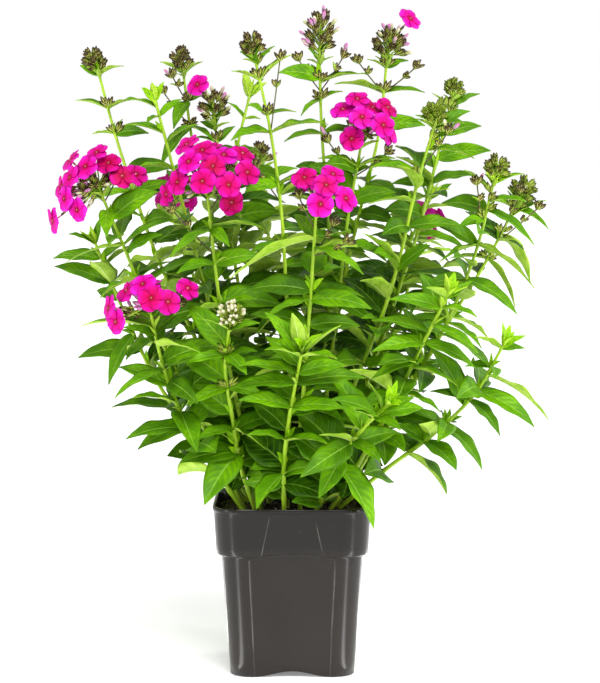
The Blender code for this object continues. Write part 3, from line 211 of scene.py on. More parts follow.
# Leaves by stem: the height where each one leaves its stem, then its tip
LEAVES = {
    "a": [(70, -20, 4, 71), (70, -26, 7, 72), (66, -26, 6, 67), (66, -18, 3, 67), (63, -24, 6, 63),
          (63, -17, 3, 63), (56, -24, 3, 55), (56, -14, 7, 57), (48, -20, 7, 47)],
    "b": [(54, -21, -9, 51), (50, -26, -7, 48), (50, -13, -6, 53), (54, -17, -2, 53), (46, -22, -7, 44),
          (46, -14, -1, 48), (39, -19, -8, 37)],
    "c": [(40, -19, -12, 41), (41, -24, -9, 41), (36, -20, -12, 33), (36, -10, -11, 38), (34, -20, -6, 36),
          (32, -18, -11, 33), (29, -19, -9, 28), (40, -13, -8, 42)],
    "d": [(50, -23, 7, 53), (50, -27, 6, 51), (48, -29, 7, 48), (45, -29, 8, 47), (43, -24, 10, 44),
          (37, -26, 6, 36), (30, -22, 6, 30), (48, -20, 9, 50), (39, -22, 3, 33)],
    "e": [(70.4, -16, 11, 72), (70.4, -11, 13, 72), (67, -16, 8, 63), (67, -10, 13, 68), (64, -16, 8, 59),
          (64, -9, 8, 62), (56, -14, 14, 55), (48, -13, 6, 46)],
    "f": [(66, -19, 3, 67), (65, -17, -1, 64), (65, -13, 2, 67), (63, -20, 3, 64), (62, -11, 1, 64),
          (59, -18, -1, 59), (59, -10, 4, 59), (52, -16, -3, 50)],
    "c1": [(52, -7, -11, 50), (52, -15, -10, 49), (48, -13, -11, 47), (48, -5, -6, 48), (43, -12, -9, 42),
           (43, -4, -9, 44), (37, -4, -8, 38)],
    "g": [(71.2, -6, -4, 73), (70.6, -2, -2, 73), (69, -7, -4, 70), (69, 0, -2, 72), (65, -5, -6, 66),
          (65, 1, -3, 67), (63, 4, -4, 64), (63, -7, -6, 62), (57, -6, -5, 56), (57, 3, -2, 58),
          (50, -5, -5, 49), (50, 3, -3, 51), (42, -4, -7, 40)],
    "g2": [(62, -12, 8, 63), (62, -7, 10, 64), (59, -11, 5, 57), (59, -6, 10, 60)],
    "s": [(67.6, -6, 14, 71), (67.4, -3.6, 15, 70), (65, -8, 13, 67), (65, -4, 14, 65), (61, -10, 13, 61),
          (61, -4, 10, 61), (54, -9, 16, 54)],
    "h": [(69.5, -2, 2, 70), (69, 8, 3, 70), (67, 6, 4, 68), (67, 1, 1, 65), (63, 8, 1, 63),
          (63, -1, 2, 62), (57, 1, -2, 56), (57, 9, 2, 59), (50, 8, -1, 49)],
    "i": [(71, 9, 8, 72), (71, 13.5, 10, 72), (68, 5, 7, 69), (68, 16, 8, 68), (64, 7, 9, 63),
          (64, 16, 7, 64), (59, 5, 7, 58), (59, 14, 7, 59), (52, 12, 3, 51)],
    "c2": [(59, 3, -2, 60), (59, 12, -2, 60), (55, 2, 0, 55), (55, 12, -3, 56), (50, 11, -4, 48),
           (50, 1, -2, 51), (43, 9, -4, 41)],
    "c3": [(51, -7, -13, 46.5), (50, 8, -13, 47), (44, 9, -11, 43), (44, -3, -11, 42), (37, 5, -11, 36),
           (37, -3, -9, 37), (32, 6, -9, 30)],
    "j1": [(66, 14, -2, 67), (64, 14, -1, 68), (63.5, 21, -2, 67), (64, 20, -4, 64), (62, 19, -1, 63),
           (52, 20, -3, 52), (55, 8, -3, 55), (47, 7, -4, 51), (47, 16, -4, 50), (45, 9, -5, 46),
           (41, 7, -4, 42), (41, 16, -4, 40), (36, 4, -4, 35), (36, 12, -3, 36), (58, 9, -4, 59),
           (61, 21, -4, 60)],
    "j2": [(60, 24, 8, 61), (57, 22, 8, 58), (57, 12, 10, 57), (66, 23, 12, 68), (66, 17, 10, 68),
           (51, 21, 6, 49), (63, 23, 10, 64), (63, 15, 12, 65), (45, 18, 11, 44)],
    "j3": [(55, 16, 17, 58.5), (55, 20, 18, 57), (54, 21, 15, 54), (54, 14, 19, 53), (50, 11, 16, 51),
           (50, 19, 17, 49), (44, 10, 17, 43), (44, 17, 9, 44)],
    "k1": [(56, 20, -4, 58.5), (57, 27, -2, 59), (55, 27, -5, 55), (54, 28, -4, 50), (53, 19, -5, 52),
           (50, 28, -5, 45), (50, 17, -4, 48), (46, 26, -5, 42), (46, 15, -4, 45), (41, 22, -4, 38),
           (41, 13, -2, 41)],
    "k2": [(54, 31, 7, 52), (54, 24, 6, 55), (53, 31, 10, 55), (51, 29, 9, 45), (51, 23, 9, 52),
           (48, 27, 7, 42), (48, 19, 8, 48), (41, 24, 9, 38), (41, 14, 4, 42)],
    "n": [(43, 11, -9, 44), (43, 21, -10, 42), (41, 21, -11, 38), (44, 15, -12, 45.5), (44, 20.5, -8, 46),
          (39, 9, -9, 38), (39, 21, -8, 36), (36, 19, -8, 34), (37, 9, -10, 35), (33, 7, -8, 31),
          (33, 17, -8, 31)],
    "o": [(32, 8.5, -13, 35), (32, 13.5, -16, 33.5), (31, 7, -15, 32), (31, 12, -17, 30), (28, 3, -13, 29),
          (28, 10, -14, 26), (26, 3, -11, 21.5), (26, 4, -12, 27), (25, 9.3, -10.8, 17.9)],
    "p": [(38, 21, -6, 39.5), (38, 27, -4, 38), (36, 20, -5, 36), (36, 23, -9.5, 35), (33, 28, -6, 29),
          (35, 30, -3, 29.5), (32, 24, -6, 28), (32, 16, -4, 33), (29, 22, -6, 24), (29, 13, -5, 31),
          (27, 19, -6, 24), (27, 12, -3, 29), (25.5, 18, -5, 21)],
    "m": [(38, -3, -16, 43), (38, 0, -17, 43), (38, -3, -18, 39), (38, 5, -18, 38), (38, 5.5, -15, 41.5),
          (36, -6, -15, 37), (36, 6, -15, 37), (32, -6, -14, 33), (32, 6, -14, 32), (28, -5, -13, 29),
          (28, 4, -13, 28), (24, -4, -13, 20.6), (24, 3, -11, 25)],
    "l": [(41, -10, -13, 42), (41, -3.5, -14, 42), (38, -5, -15.5, 36), (38, -12, -13, 37),
          (34, -12, -11, 32), (34, -3, -10, 33), (29, -11, -10, 28), (29, -3, -10, 27),
          (26, -10, -10.5, 20.6), (26, -13, -7, 25)],
}

# Pairs of leaves set by rule: lowest and highest pair, pairs, leaf length
PAIRS = {
    "r1": (30, 52, 4, 8), "r2": (30, 57, 4, 8), "r3": (30, 53, 4, 8), "r4": (29, 48, 4, 8),
    "r5": (24, 34.5, 2, 7), "r6": (24, 33.5, 2, 7), "a": (30, 41, 2, 8), "b": (29, 33, 1, 8),
    "e": (31, 42, 2, 8), "f": (29, 45, 3, 8), "c1": (25, 31, 2, 8), "g": (27, 36, 2, 8),
    "g2": (33, 50, 3, 8), "s": (36, 47, 2, 8), "h": (29, 43, 3, 8), "i": (33, 46, 2, 8),
    "c2": (29, 36, 2, 8), "c3": (25, 29, 1, 7.5), "j1": (28, 28, 1, 8), "j2": (31, 40, 2, 8),
    "k1": (28, 35, 2, 8), "k2": (29, 35, 2, 8), "n": (28, 28, 1, 7.5),
}

# Heads of closed buds: the top of each, its width and its number of buds
HEADS = {
    "a": (-24.4, 6, 73.4, 3, 12), "e": (-13.9, 12, 74, 2.8, 11), "g": (-5, -3, 74.7, 3, 12),
    "g2": (-9.8, 9, 68.6, 3.8, 13), "h": (3.4, 4, 77.8, 3.8, 16), "i": (12, 9, 76.2, 4.4, 15),
    "j1": (16.4, -2, 66.8, 3.4, 12), "j2": (19.9, 11, 70, 2.8, 10), "k1": (24, -3, 60.6, 3.4, 12),
    "k2": (28.8, 9, 58, 3.6, 12), "l": (-6.2, -14.4, 44.1, 3, 12), "r2": (-4.4, 21, 62.4, 3.4, 11),
    "r3": (6.4, 23.2, 58.2, 3, 10),
}

# Open blooms: the middle of each flower
FLOWERS = {
    "b": [(-25.6, -4, 59.8), (-25.4, -6.6, 57.8), (-22.4, -5.4, 60.7), (-23.6, -7.4, 59.2), (-21, -6, 59.5),
          (-26.8, -4.6, 56.8), (-26, -7, 55.4), (-24.6, -7.8, 54), (-27.6, -5, 52.8), (-19.4, -6.4, 58),
          (-18, -4, 58.2), (-23.8, -2.2, 59.4)],
    "c": [(-18.6, -12, 45.2), (-16.6, -13.6, 46), (-15.6, -15, 44.4), (-20.6, -12, 43.2),
          (-19.6, -14.2, 41.8), (-13.8, -13.6, 44), (-11.7, -11, 45.4), (-16, -10, 45.6)],
    "c1": [(-10.1, -9.6, 60.9), (-11.6, -10.6, 59.6), (-12, -7, 61.6), (-7.7, -8.6, 60.4), (-5.6, -7, 60.6),
           (-5, -9.4, 58.4), (-10, -12, 57.4), (-8.8, -11.2, 59.2), (-12.9, -10, 57.3), (-14.3, -8, 55.9),
           (-7.1, -11.4, 57), (-6.8, -9.6, 55), (-9.4, -5.4, 61.2)],
    "c2": [(7.6, 0, 67), (5.9, 0, 65.8), (8.1, -2.4, 64.8), (11.2, 0.2, 66), (10.3, -2.2, 63.7),
           (9.6, 0.4, 66.6), (11.3, -0.4, 63), (6.9, -1.8, 62.3), (7.6, 2.4, 65.4)],
    "c3": [(1.4, -13.2, 57.8), (3.8, -14.4, 57), (3.2, -15.2, 54.9), (6, -13.2, 55.5), (4.6, -11.6, 58.2),
           (1.8, -10.4, 57)],
    "r1": [(-15, 20.4, 58), (-17, 20.4, 56.8), (-13.2, 20.8, 57), (-16.4, 22, 55), (-13.8, 22.2, 54.8)],
    "r4": [(16.6, 20.4, 54), (18.6, 20.6, 52.8), (15, 21.2, 52.8), (17.2, 22.6, 51)],
}

# Single open flowers beside a head: the middle of each
SINGLE_FLOWERS = {"g2": (-11.4, 6.4, 68.9), "i": (14.2, 8.2, 76.9)}

# Twigs with closed buds: the height where each one leaves its stem, then its tip
TWIGS = {
    "b": [(55, -20, -5.6, 58.2), (55, -24, -3.4, 57)],
    "c": [(42, -13, -11, 43.4), (42, -18, -11, 42.6)],
    "c1": [(49, -13.4, -8.6, 54), (54, -7.6, -6.4, 57)],
    "c2": [(58, 4.2, -0.4, 62), (58, 11, -0.6, 60.6)],
    "c3": [(49, 4.6, -9.6, 52.4), (49, 6, -10.6, 50.4), (52, 0.8, -12, 55.6)],
    "e": [(67, -14.6, 10.6, 70), (64, -15.6, 9.6, 68)],
    "g": [(63, -1.4, -3.4, 71.4), (55, -4, -3, 59)],
    "h": [(68, 0.8, 3.4, 71.6), (68, 6, 3.8, 72)],
    "i": [(68, 8, 8, 71.6), (68, 14.8, 8.4, 71)],
    "k2": [(50, 27.4, 8, 56), (50, 29.6, 7.6, 54)],
    "k1": [(52, 21.4, -3.4, 57)],
    "j1": [(59, 18, -3, 63)],
}


def unit(vector):
    return vector / np.linalg.norm(vector)


def turned(vector, axis, angle):
    """A vector turned about a unit axis"""
    along = axis * np.dot(axis, vector)
    return along + (vector - along) * math.cos(angle) + np.cross(axis, vector) * math.sin(angle)


def sideways(axis):
    """A unit vector at right angles to an axis"""
    guide = np.array((1.0, 0.0, 0.0)) if abs(axis[0]) < 0.7 else np.array((0.0, 1.0, 0.0))
    return unit(np.cross(axis, guide))


def bowed(start, middle, end, share):
    """Points of a bow from start to end that leans to its middle"""
    return (1 - share) ** 2 * start + 2 * share * (1 - share) * middle + share ** 2 * end


def outward(place):
    """The level way that leaves and flowers at a place turn to: to the front, or to the back behind it"""
    return unit(np.array((TURN_ASIDE * place[0], TURN_BACK if place[1] > BACK_STARTS else TURN_FRONT, 0.0)))


class Curve:
    """A smooth curve through given points, measured by height or by length"""
    STEPS = 12

    def __init__(self, points):
        knots = [np.array(point, dtype=float) for point in points]
        knots = [2 * knots[0] - knots[1]] + knots + [2 * knots[-1] - knots[-2]]
        dense = []
        for before, start, end, after in zip(knots, knots[1:], knots[2:], knots[3:]):
            for step in range(self.STEPS):
                t = step / self.STEPS
                dense.append(0.5 * (2 * start + (end - before) * t
                                    + (2 * before - 5 * start + 4 * end - after) * t ** 2
                                    + (3 * start - before - 3 * end + after) * t ** 3))
        dense.append(knots[-2])
        self.points = np.array(dense)
        steps = np.linalg.norm(np.diff(self.points, axis=0), axis=1)
        self.lengths = np.concatenate(([0.0], np.cumsum(steps)))
        self.length = self.lengths[-1]

    def at(self, length):
        return np.array([np.interp(length, self.lengths, self.points[:, i]) for i in range(3)])

    def direction(self, length):
        reach = 0.004
        return unit(self.at(min(length + reach, self.length)) - self.at(max(length - reach, 0.0)))


class Solid:
    """Points and triangles of one closed solid"""

    def __init__(self, points, faces):
        self.points = np.array(points)
        self.faces = faces

    def tree(self):
        return BVHTree.FromPolygons(self.points.tolist(), self.faces)


def loft(rings):
    """A closed solid from rings that all have the same number of points"""
    count = len(rings[0])
    points = [point for ring in rings for point in ring]
    faces = []
    for level in range(len(rings) - 1):
        low, high = level * count, (level + 1) * count
        for i in range(count):
            j = (i + 1) % count
            faces += [(low + i, low + j, high + j), (low + i, high + j, high + i)]
    top = (len(rings) - 1) * count
    for i in range(1, count - 1):
        faces += [(0, i + 1, i), (top, top + i, top + i + 1)]
    return Solid(points, faces)


def tube_rings(path, radii, sides, ribs=0, rib_depth=0.0):
    """Rings of a round or ribbed rod along a path, its sides never twisting"""
    path = np.array(path)
    rings = []
    side = None
    angles = 2 * math.pi * np.arange(sides) / sides
    bulge = 1 + np.broadcast_to(rib_depth, len(path))[:, None] * np.cos(ribs * angles)
    for index, point in enumerate(path):
        ahead = unit(path[min(index + 1, len(path) - 1)] - path[max(index - 1, 0)])
        side = sideways(ahead) if side is None else unit(side - ahead * np.dot(side, ahead))
        other = np.cross(ahead, side)
        ring = np.cos(angles)[:, None] * side + np.sin(angles)[:, None] * other
        rings.append(point + radii[index] * bulge[index][:, None] * ring)
    return np.array(rings)


def tube(path, radii, sides):
    return loft(tube_rings(path, radii, sides))


def spindle(start, end, radius, sides=4, fullest=0.6):
    """A slim solid, pointed at both ends"""
    axis = unit(end - start)
    side = sideways(axis)
    middle = start + (end - start) * fullest
    points = [start, end]
    points += [middle + radius * turned(side, axis, 2 * math.pi * k / sides) for k in range(sides)]
    faces = []
    for k in range(sides):
        i, j = 2 + k, 2 + (k + 1) % sides
        faces += [(0, j, i), (1, i, j)]
    return Solid(points, faces)


def four_sides(side, half, steps, height):
    """A ring from the points of one side: each side and its round corner, turned about the pot's middle"""
    corner = half * CORNER_SHARE
    reach = half - corner
    angles = np.radians(90) * np.arange(steps + 1) / steps
    curve = np.stack((reach + corner * np.cos(angles), reach + corner * np.sin(angles), 0 * angles), axis=1)
    x, y, rise = np.concatenate((side, curve)).T
    ring = []
    for quarter in range(4):
        cos, sin = math.cos(quarter * math.pi / 2), math.sin(quarter * math.pi / 2)
        ring.append(np.stack((x * cos - y * sin, x * sin + y * cos, height + rise), axis=1))
    return np.concatenate(ring)


class Leaf:
    """An arched, folded leaf blade between its root on the stem and its tip"""

    def __init__(self, root, tip, stem_way, seed):
        draw = random.Random(seed)
        self.root = root
        self.tip = tip
        span = tip - root
        self.length = np.linalg.norm(span)
        self.elbow = root + 0.5 * span + stem_way * LEAF_ARCH * self.length
        level = draw.random() < np.interp(root[2], LEVEL_HEIGHTS, LEVEL_CHANCE)
        lean = draw.uniform(*(LEVEL_LEAN if level else LEAF_LEAN))
        face = LEAF_RISE * UP + outward(0.5 * (root + tip)) * lean
        self.side = turned(unit(np.cross(span, face)), unit(span), draw.uniform(-LEAF_TWIST, LEAF_TWIST))
        width = min(LEAF_WIDTH_MAX, self.length * LEAF_WIDTH_SHARE * draw.uniform(*LEAF_WIDTHS))
        self.half_width = 0.5 * width * (LOW_BROAD if root[2] < LOW_LEAVES else 1.0)
        self.fold = draw.uniform(*(LEVEL_FOLD if level else LEAF_FOLD))

    def spine(self, u):
        return bowed(self.root, self.elbow, self.tip, u)

    def ahead(self, u):
        """The way the spine runs"""
        return (1 - u) * (self.elbow - self.root) + u * (self.tip - self.elbow)

    def across(self, u):
        """The half width of the blade, rounded near the root and long-pointed at the tip"""
        fullest = LEAF_ROOT_POWER / (LEAF_ROOT_POWER + LEAF_TIP_POWER)
        most = fullest ** LEAF_ROOT_POWER * (1 - fullest) ** LEAF_TIP_POWER
        return max(self.half_width * u ** LEAF_ROOT_POWER * (1 - u) ** LEAF_TIP_POWER / most, LEAF_EDGE)

    def point(self, u, v, lift=0.0):
        """A point of the blade: u runs to the tip, v from edge to edge, lift stands off it"""
        ahead = unit(self.ahead(u))
        side = unit(self.side - ahead * np.dot(self.side, ahead))
        upper = np.cross(side, ahead)
        half = self.across(u)
        return self.spine(u) + side * v * half + upper * (self.fold * abs(v) ** LEAF_FOLD_POWER * half + lift)

    def solid(self, grow=0.0):
        """The blade with a flat top and a keel under its midrib, in a few stations"""
        stations = LONG_STATIONS if self.length > LONG_LEAF else SHORT_STATIONS
        if self.length < SMALL_LEAF:
            stations = SMALL_STATIONS
        stretch = 1 + grow / self.half_width
        level_way = np.array((self.tip[0] - self.root[0], self.tip[1] - self.root[1], 0.0))
        points = [self.root - unit(level_way) * LEAF_ROOT_BACK]
        for u in stations:
            points += [self.point(u, -stretch, grow), self.point(u, stretch, grow),
                       self.point(u, 0, -LEAF_THICKNESS - grow)]
        points.append(self.tip + grow * unit(self.tip - self.elbow))
        end = len(points) - 1
        faces = [(0, 1 + (i + 1) % 3, 1 + i) for i in range(3)]
        for low in range(1, end - 3, 3):
            for i, j in ((0, 1), (1, 2), (0, 2)):
                faces += [(low + i, low + j, low + 3 + j), (low + i, low + 3 + j, low + 3 + i)]
        faces += [(end - 3 + i, end - 3 + (i + 1) % 3, end) for i in range(3)]
        return Solid(points, faces)


class Flower:
    """A flat flower of five lobes on a thin tube that starts inside its head"""

    def __init__(self, middle, start, seed):
        draw = random.Random(seed)
        self.middle = middle
        self.start = start
        self.way = unit(FACE_ALONG * unit(middle - start) + FACE_OUTWARD * outward(middle) + FACE_UP * UP)
        self.spin = draw.uniform(0, 2 * math.pi)
        self.lifts = [draw.uniform(-LOBE_LIFT, LOBE_LIFT) for _ in range(5)]
        self.radius = FLOWER_RADIUS * draw.uniform(*FLOWER_SIZES)
        self.side = sideways(self.way)

    def face_point(self, angle, radius, lift):
        return self.middle + radius * turned(self.side, self.way, self.spin + angle) + lift * self.way

    def solid(self):
        lobe = 2 * math.pi / 5
        points = [self.face_point(0, 0, -PETAL_THICKNESS)]
        for k in range(5):
            for turn, share in ((-0.5, NOTCH_SHARE), (-LOBE_SHARE, 1.0), (LOBE_SHARE, 1.0)):
                lift = self.lifts[k] if share == 1.0 else -NOTCH_DROP
                points.append(self.face_point((k + turn) * lobe, share * self.radius, lift))
        throat = self.middle - THROAT_DEPTH * self.way
        ends = ((throat, TUBE_RADIUS * THROAT_SHARE), (self.start, TUBE_RADIUS * TUBE_FOOT_SHARE))
        for centre, radius in ends:
            points += [centre + radius * turned(self.side, self.way, self.spin + (k - 0.25) * 2 * math.pi / 3)
                       for k in range(3)]
        faces = [(0, 1 + i, 1 + (i + 1) % 15) for i in range(15)]
        neck, root = 16, 19
        for k in range(3):
            nxt = (k + 1) % 3
            for i in range(5 * k, 5 * k + 5):
                faces.append((neck + k, 1 + (i + 1) % 15, 1 + i))
            faces.append((neck + k, neck + nxt, 1 + (5 * k + 5) % 15))
            faces += [(root + k, root + nxt, neck + nxt), (root + k, neck + nxt, neck + k)]
        faces.append((root, root + 1, root + 2))
        return Solid(points, faces)

    def disc(self):
        """The open face alone, to test it against its neighbours"""
        whole = self.solid()
        return Solid(whole.points[:19], [face for face in whole.faces if max(face) < 19])


class Crowd:
    """The solids placed so far, which a new one has to stay clear of"""

    def __init__(self):
        self.lows = np.zeros((0, 3))
        self.highs = np.zeros((0, 3))
        self.entries = []

    def add(self, solid, owner, root=None):
        self.lows = np.vstack((self.lows, solid.points.min(axis=0)))
        self.highs = np.vstack((self.highs, solid.points.max(axis=0)))
        self.entries.append((solid.tree(), owner, root))

    def hit_by(self, solid, owner, root):
        """Whether a solid touches another node, or a leaf of its own stem that starts elsewhere"""
        low, high = solid.points.min(axis=0), solid.points.max(axis=0)
        near = np.nonzero(np.all(low <= self.highs, axis=1) & np.all(high >= self.lows, axis=1))[0]
        tree = None
        for other_tree, other_owner, other_root in [self.entries[index] for index in near]:
            if other_owner == owner and (other_root is None or abs(other_root[2] - root[2]) < NEXT_PAIR):
                continue
            tree = tree or solid.tree()
            if tree.overlap(other_tree):
                return True
        return False


def stem_radius(curve, length):
    share = np.clip(length / curve.length, 0, 1)
    return STEM_FOOT_RADIUS + (STEM_TIP_RADIUS - STEM_FOOT_RADIUS) * share


def stem_path(name):
    """The stem's foot in the soil, then a point every few centimetres up to its tip"""
    curve = Curve([np.array(point) * CM for point in ROUTES[name]])
    foot = curve.points[0] - curve.direction(0.0) * STEM_FOOT_DEPTH
    steps = max(round(curve.length / STEM_RING_STEP), 4)
    lengths = [curve.length * k / steps for k in range(steps + 1)]
    path = [foot] + [curve.at(length) for length in lengths]
    return path, [STEM_FOOT_RADIUS] + [stem_radius(curve, length) for length in lengths]


def stem_place(name, height):
    """The point of a stem's axis at a height in centimetres, and the way the stem runs there"""
    path, _ = stem_path(name)
    path = np.array(path)
    index = int(np.clip(np.searchsorted(path[:, 2], height * CM), 1, len(path) - 1))
    low, high = path[index - 1], path[index]
    share = np.clip((height * CM - low[2]) / (high[2] - low[2]), 0.0, STEM_LAST_SHARE)
    return low + (high - low) * share, unit(high - low)


def stem_tube(name, grow=0.0):
    """The bare stem from its foot in the soil to its tip"""
    path, radii = stem_path(name)
    return tube(path, [radius + grow for radius in radii], STEM_SIDES)


def core_points(name, top):
    """Where a head or bloom starts, just clear of its stem, and the way it points"""
    path, _ = stem_path(name)
    way = unit(path[-1] - path[-2])
    return path[-1] + way * GAP, way, unit(top - path[-1])


def head_frame(name):
    """A head's start, the way its stem points, its own axis, its height and its half width"""
    top = np.array(HEADS[name][:3]) * CM
    start, way, axis = core_points(name, top)
    return start, way, axis, np.linalg.norm(top - start), 0.5 * HEADS[name][3] * CM


def head_heart(name):
    top = np.array(HEADS[name][:3]) * CM
    return 0.5 * (core_points(name, top)[0] + top)


def head_solids(name):
    """A rounded core with closed buds standing out of it all the way round"""
    start, way, axis, height, half = head_frame(name)
    path = [start, start + way * CORE_FOOT] + [start + axis * height * share for share, _ in HEAD_CORE]
    radii = [STEM_TIP_RADIUS, STEM_TIP_RADIUS] + [half * share for _, share in HEAD_CORE]
    solids = [tube(path, radii, STEM_SIDES)]
    for root, tip in head_buds(start, axis, height, half, HEADS[name][4], "head " + name):
        solids.append(spindle(root, tip, BUD_RADIUS, BUD_SIDES, BUD_FULLEST))
    return solids


def head_buds(start, axis, height, half, count, seed):
    """Root and tip of each bud, the tips spread evenly over a rounded head"""
    draw = random.Random(seed)
    side = sideways(axis)
    centre = start + axis * 0.5 * height
    buds = []
    for k in range(count):
        share = (k + 0.5) / count
        level = math.cos(HEAD_LOWEST) + (math.cos(HEAD_HIGHEST) - math.cos(HEAD_LOWEST)) * share
        out = turned(side, axis, k * GOLDEN_TURN + draw.uniform(-BUD_TURN, BUD_TURN))
        out = out * math.sqrt(1 - level ** 2)
        tip = centre + (out * half + axis * 0.5 * height * level) * draw.uniform(*BUD_REACH)
        heart = start + axis * height * np.interp(share, (0, 1), BUD_HEARTS)
        buds.append((heart + BUD_SUNK * (tip - heart), tip))
    return buds


def bloom_flowers(name):
    """The open flowers of a bloom, each on a tube from the bloom's core, their faces clear of each other"""
    middles = [np.array(middle) * CM for middle in FLOWERS[name]]
    start, way, _ = core_points(name, middles[0])
    heart = start + way * CORE_LENGTH * CORE_HEART
    flowers, faces = [], []
    for k, middle in enumerate(middles):
        best = None
        for step in FLOWER_STEPS:
            shifted = middle + step * unit(middle - heart)
            flower = Flower(shifted, heart, f"flower {name} {k}")
            face = flower.disc().tree()
            crossed = sum(len(face.overlap(other)) > 0 for other in faces)
            if best is None or crossed < best[0]:
                best = (crossed, flower, face)
            if crossed == 0:
                break
        flowers.append(best[1])
        faces.append(best[2])
    return flowers


def bloom_solids(name):
    flowers = bloom_flowers(name)
    start, way, _ = core_points(name, flowers[0].middle)
    heart = flowers[0].start
    core = tube([start, heart, start + way * CORE_LENGTH],
                [STEM_TIP_RADIUS, CORE_RADIUS, CORE_RADIUS * CORE_TIP_SHARE], STEM_SIDES)
    return [core] + [flower.solid() for flower in flowers]


def single_flower(name):
    """A flower whose tube reaches in among the buds of its head as far as it stays clear of them"""
    middle = np.array(SINGLE_FLOWERS[name]) * CM
    heart = head_heart(name)
    buds = [solid.tree() for solid in head_solids(name)]
    for share in FOOT_SHARES:
        foot = middle + share * (heart - middle)
        sleeve = tube([foot, middle], [TUBE_RADIUS * THROAT_SHARE + GAP] * 2, 6).tree()
        if not any(sleeve.overlap(bud) for bud in buds):
            break
    return Flower(middle, foot, f"flower {name}")


def twig_solids(name, height, tip):
    """A thin stalk with two closed buds at its end"""
    root, _ = stem_place(name, height)
    ahead = unit(tip - root)
    solids = [tube([root, tip], [TWIG_RADIUS, TWIG_RADIUS], 3)]
    side = sideways(ahead)
    for turn in (TWIG_BUD_TURN, TWIG_BUD_TURN + math.pi):
        bud_way = unit(ahead + TWIG_BUD_LEAN * turned(side, ahead, turn))
        end = tip + bud_way * BUD_LENGTH * TWIG_BUD_SHARE
        solids.append(spindle(tip - ahead * TWIG_BUD_SUNK, end, BUD_RADIUS, BUD_SIDES))
    return solids


def leaf_tries(root, tip, stem_way):
    """The leaf's own place first, then small turns, lifts and shorter blades"""
    for shrink in TRY_SIZES:
        for lift in TRY_LIFTS:
            for turn in TRY_TURNS:
                span = turned((tip - root) * shrink, stem_way, math.radians(turn))
                yield root + span + UP * lift


def rule_leaves(name):
    """Opposite pairs up a stem, each pair a quarter turn from the last"""
    lowest, highest, pairs, reach = PAIRS[name]
    draw = random.Random("pairs " + name)
    phase = draw.uniform(0, math.pi)
    rows = []
    for k in range(pairs):
        share = k / max(pairs - 1, 1)
        height = lowest + (highest - lowest) * share
        root, way = stem_place(name, height)
        size = reach * CM * (1 - PAIR_SHRINK * share ** 2) * draw.uniform(*PAIR_SIZES)
        for half_turn in (0, math.pi):
            turn = phase + k * math.pi / 2 + half_turn + draw.uniform(-PAIR_TURN, PAIR_TURN)
            out = turned(sideways(way), way, turn)
            rise = draw.uniform(*PAIR_RISE) + PAIR_LIFT * share
            rows.append((height, *((root + size * unit(out + way * rise)) / CM)))
    return rows


def place_leaf(crowd, name, row, index):
    """The first try that is clear of everything else, or none"""
    root, way = stem_place(name, row[0])
    tip = np.array(row[1:]) * CM
    for attempt in leaf_tries(root, tip, way):
        leaf = Leaf(root, attempt, way, f"leaf {name} {index}")
        solid = leaf.solid(LEAF_CLEARANCE)
        if not crowd.hit_by(solid, "stem_" + name, root):
            crowd.add(solid, "stem_" + name, root)
            return leaf
    return None


def pot_guard():
    """The space of the pot and the soil, which leaves stay out of"""
    step = POT_HEIGHT - COLLAR_HEIGHT
    levels = ((BODY_FOOT_HALF, 0.0), (BODY_TOP_HALF, step - GUARD), (COLLAR_FOOT_HALF, step),
              (LIP_HALF, POT_HEIGHT))
    rings = []
    for half, height in levels:
        side = [(half + GUARD, along, 0.0) for along in (-PANEL_HALF_TOP, 0.0, PANEL_HALF_TOP)]
        rings.append(four_sides(np.array(side), half + GUARD, CORNER_STEPS, height + GUARD))
    return loft(rings)


def plant_layout():
    """Every piece of the plant in its place: stems, heads and blooms first, then twigs and leaves"""
    crowd = Crowd()
    crowd.add(pot_guard(), "pot")
    for name in ROUTES:
        crowd.add(stem_tube(name, LEAF_CLEARANCE), "stem_" + name)
    pieces = {"heads": {}, "blooms": {}, "twigs": {}, "leaves": {}}
    for name in FLOWERS:
        pieces["blooms"]["bloom_" + name] = bloom_solids(name)
    for name in SINGLE_FLOWERS:
        pieces["blooms"]["flower_" + name] = [single_flower(name).solid()]
    for name in HEADS:
        pieces["heads"]["buds_" + name] = head_solids(name)
    for group in ("heads", "blooms"):
        for owner, solids in pieces[group].items():
            for solid in solids:
                crowd.add(solid, owner)
    for name in ROUTES:
        pieces["twigs"][name] = place_twigs(crowd, name)
    for name in ROUTES:
        rows = LEAVES.get(name, [])
        pieces["leaves"][name] = [place_leaf(crowd, name, row, k) for k, row in enumerate(rows)]
    for name in PAIRS:
        rows = rule_leaves(name)
        pieces["leaves"][name] += [place_leaf(crowd, name, row, 100 + k) for k, row in enumerate(rows)]
    return pieces, crowd


def place_twigs(crowd, name):
    kept = []
    for height, x, y, z in TWIGS.get(name, []):
        root_height = np.array((0.0, 0.0, height * CM))
        for shift in TWIG_SHIFTS:
            tip = np.array((x + shift[0], y + shift[1], z)) * CM
            solids = twig_solids(name, height, tip)
            if not any(crowd.hit_by(solid, "stem_" + name, root_height) for solid in solids):
                for solid in solids:
                    crowd.add(solid, "stem_" + name, root_height)
                kept.append((stem_place(name, height)[0], tip))
                break
    return kept


# Fine shapes

# Rows and columns of a leaf's upper side
LARGE = (17, 9)
MIDDLE = (11, 7)
SMALL = (9, 5)

# Numbers of the materials in each slot's list: foliage, buds, petals. A blade's under side has the next one
LEAF, LEAF_UNDER, STALK = 0, 1, 2
CALYX, FURLED, BRACT, DARK_STALK = 0, 1, 3, 5
LOBE, FLOWER_TUBE, EYE = 0, 1, 2

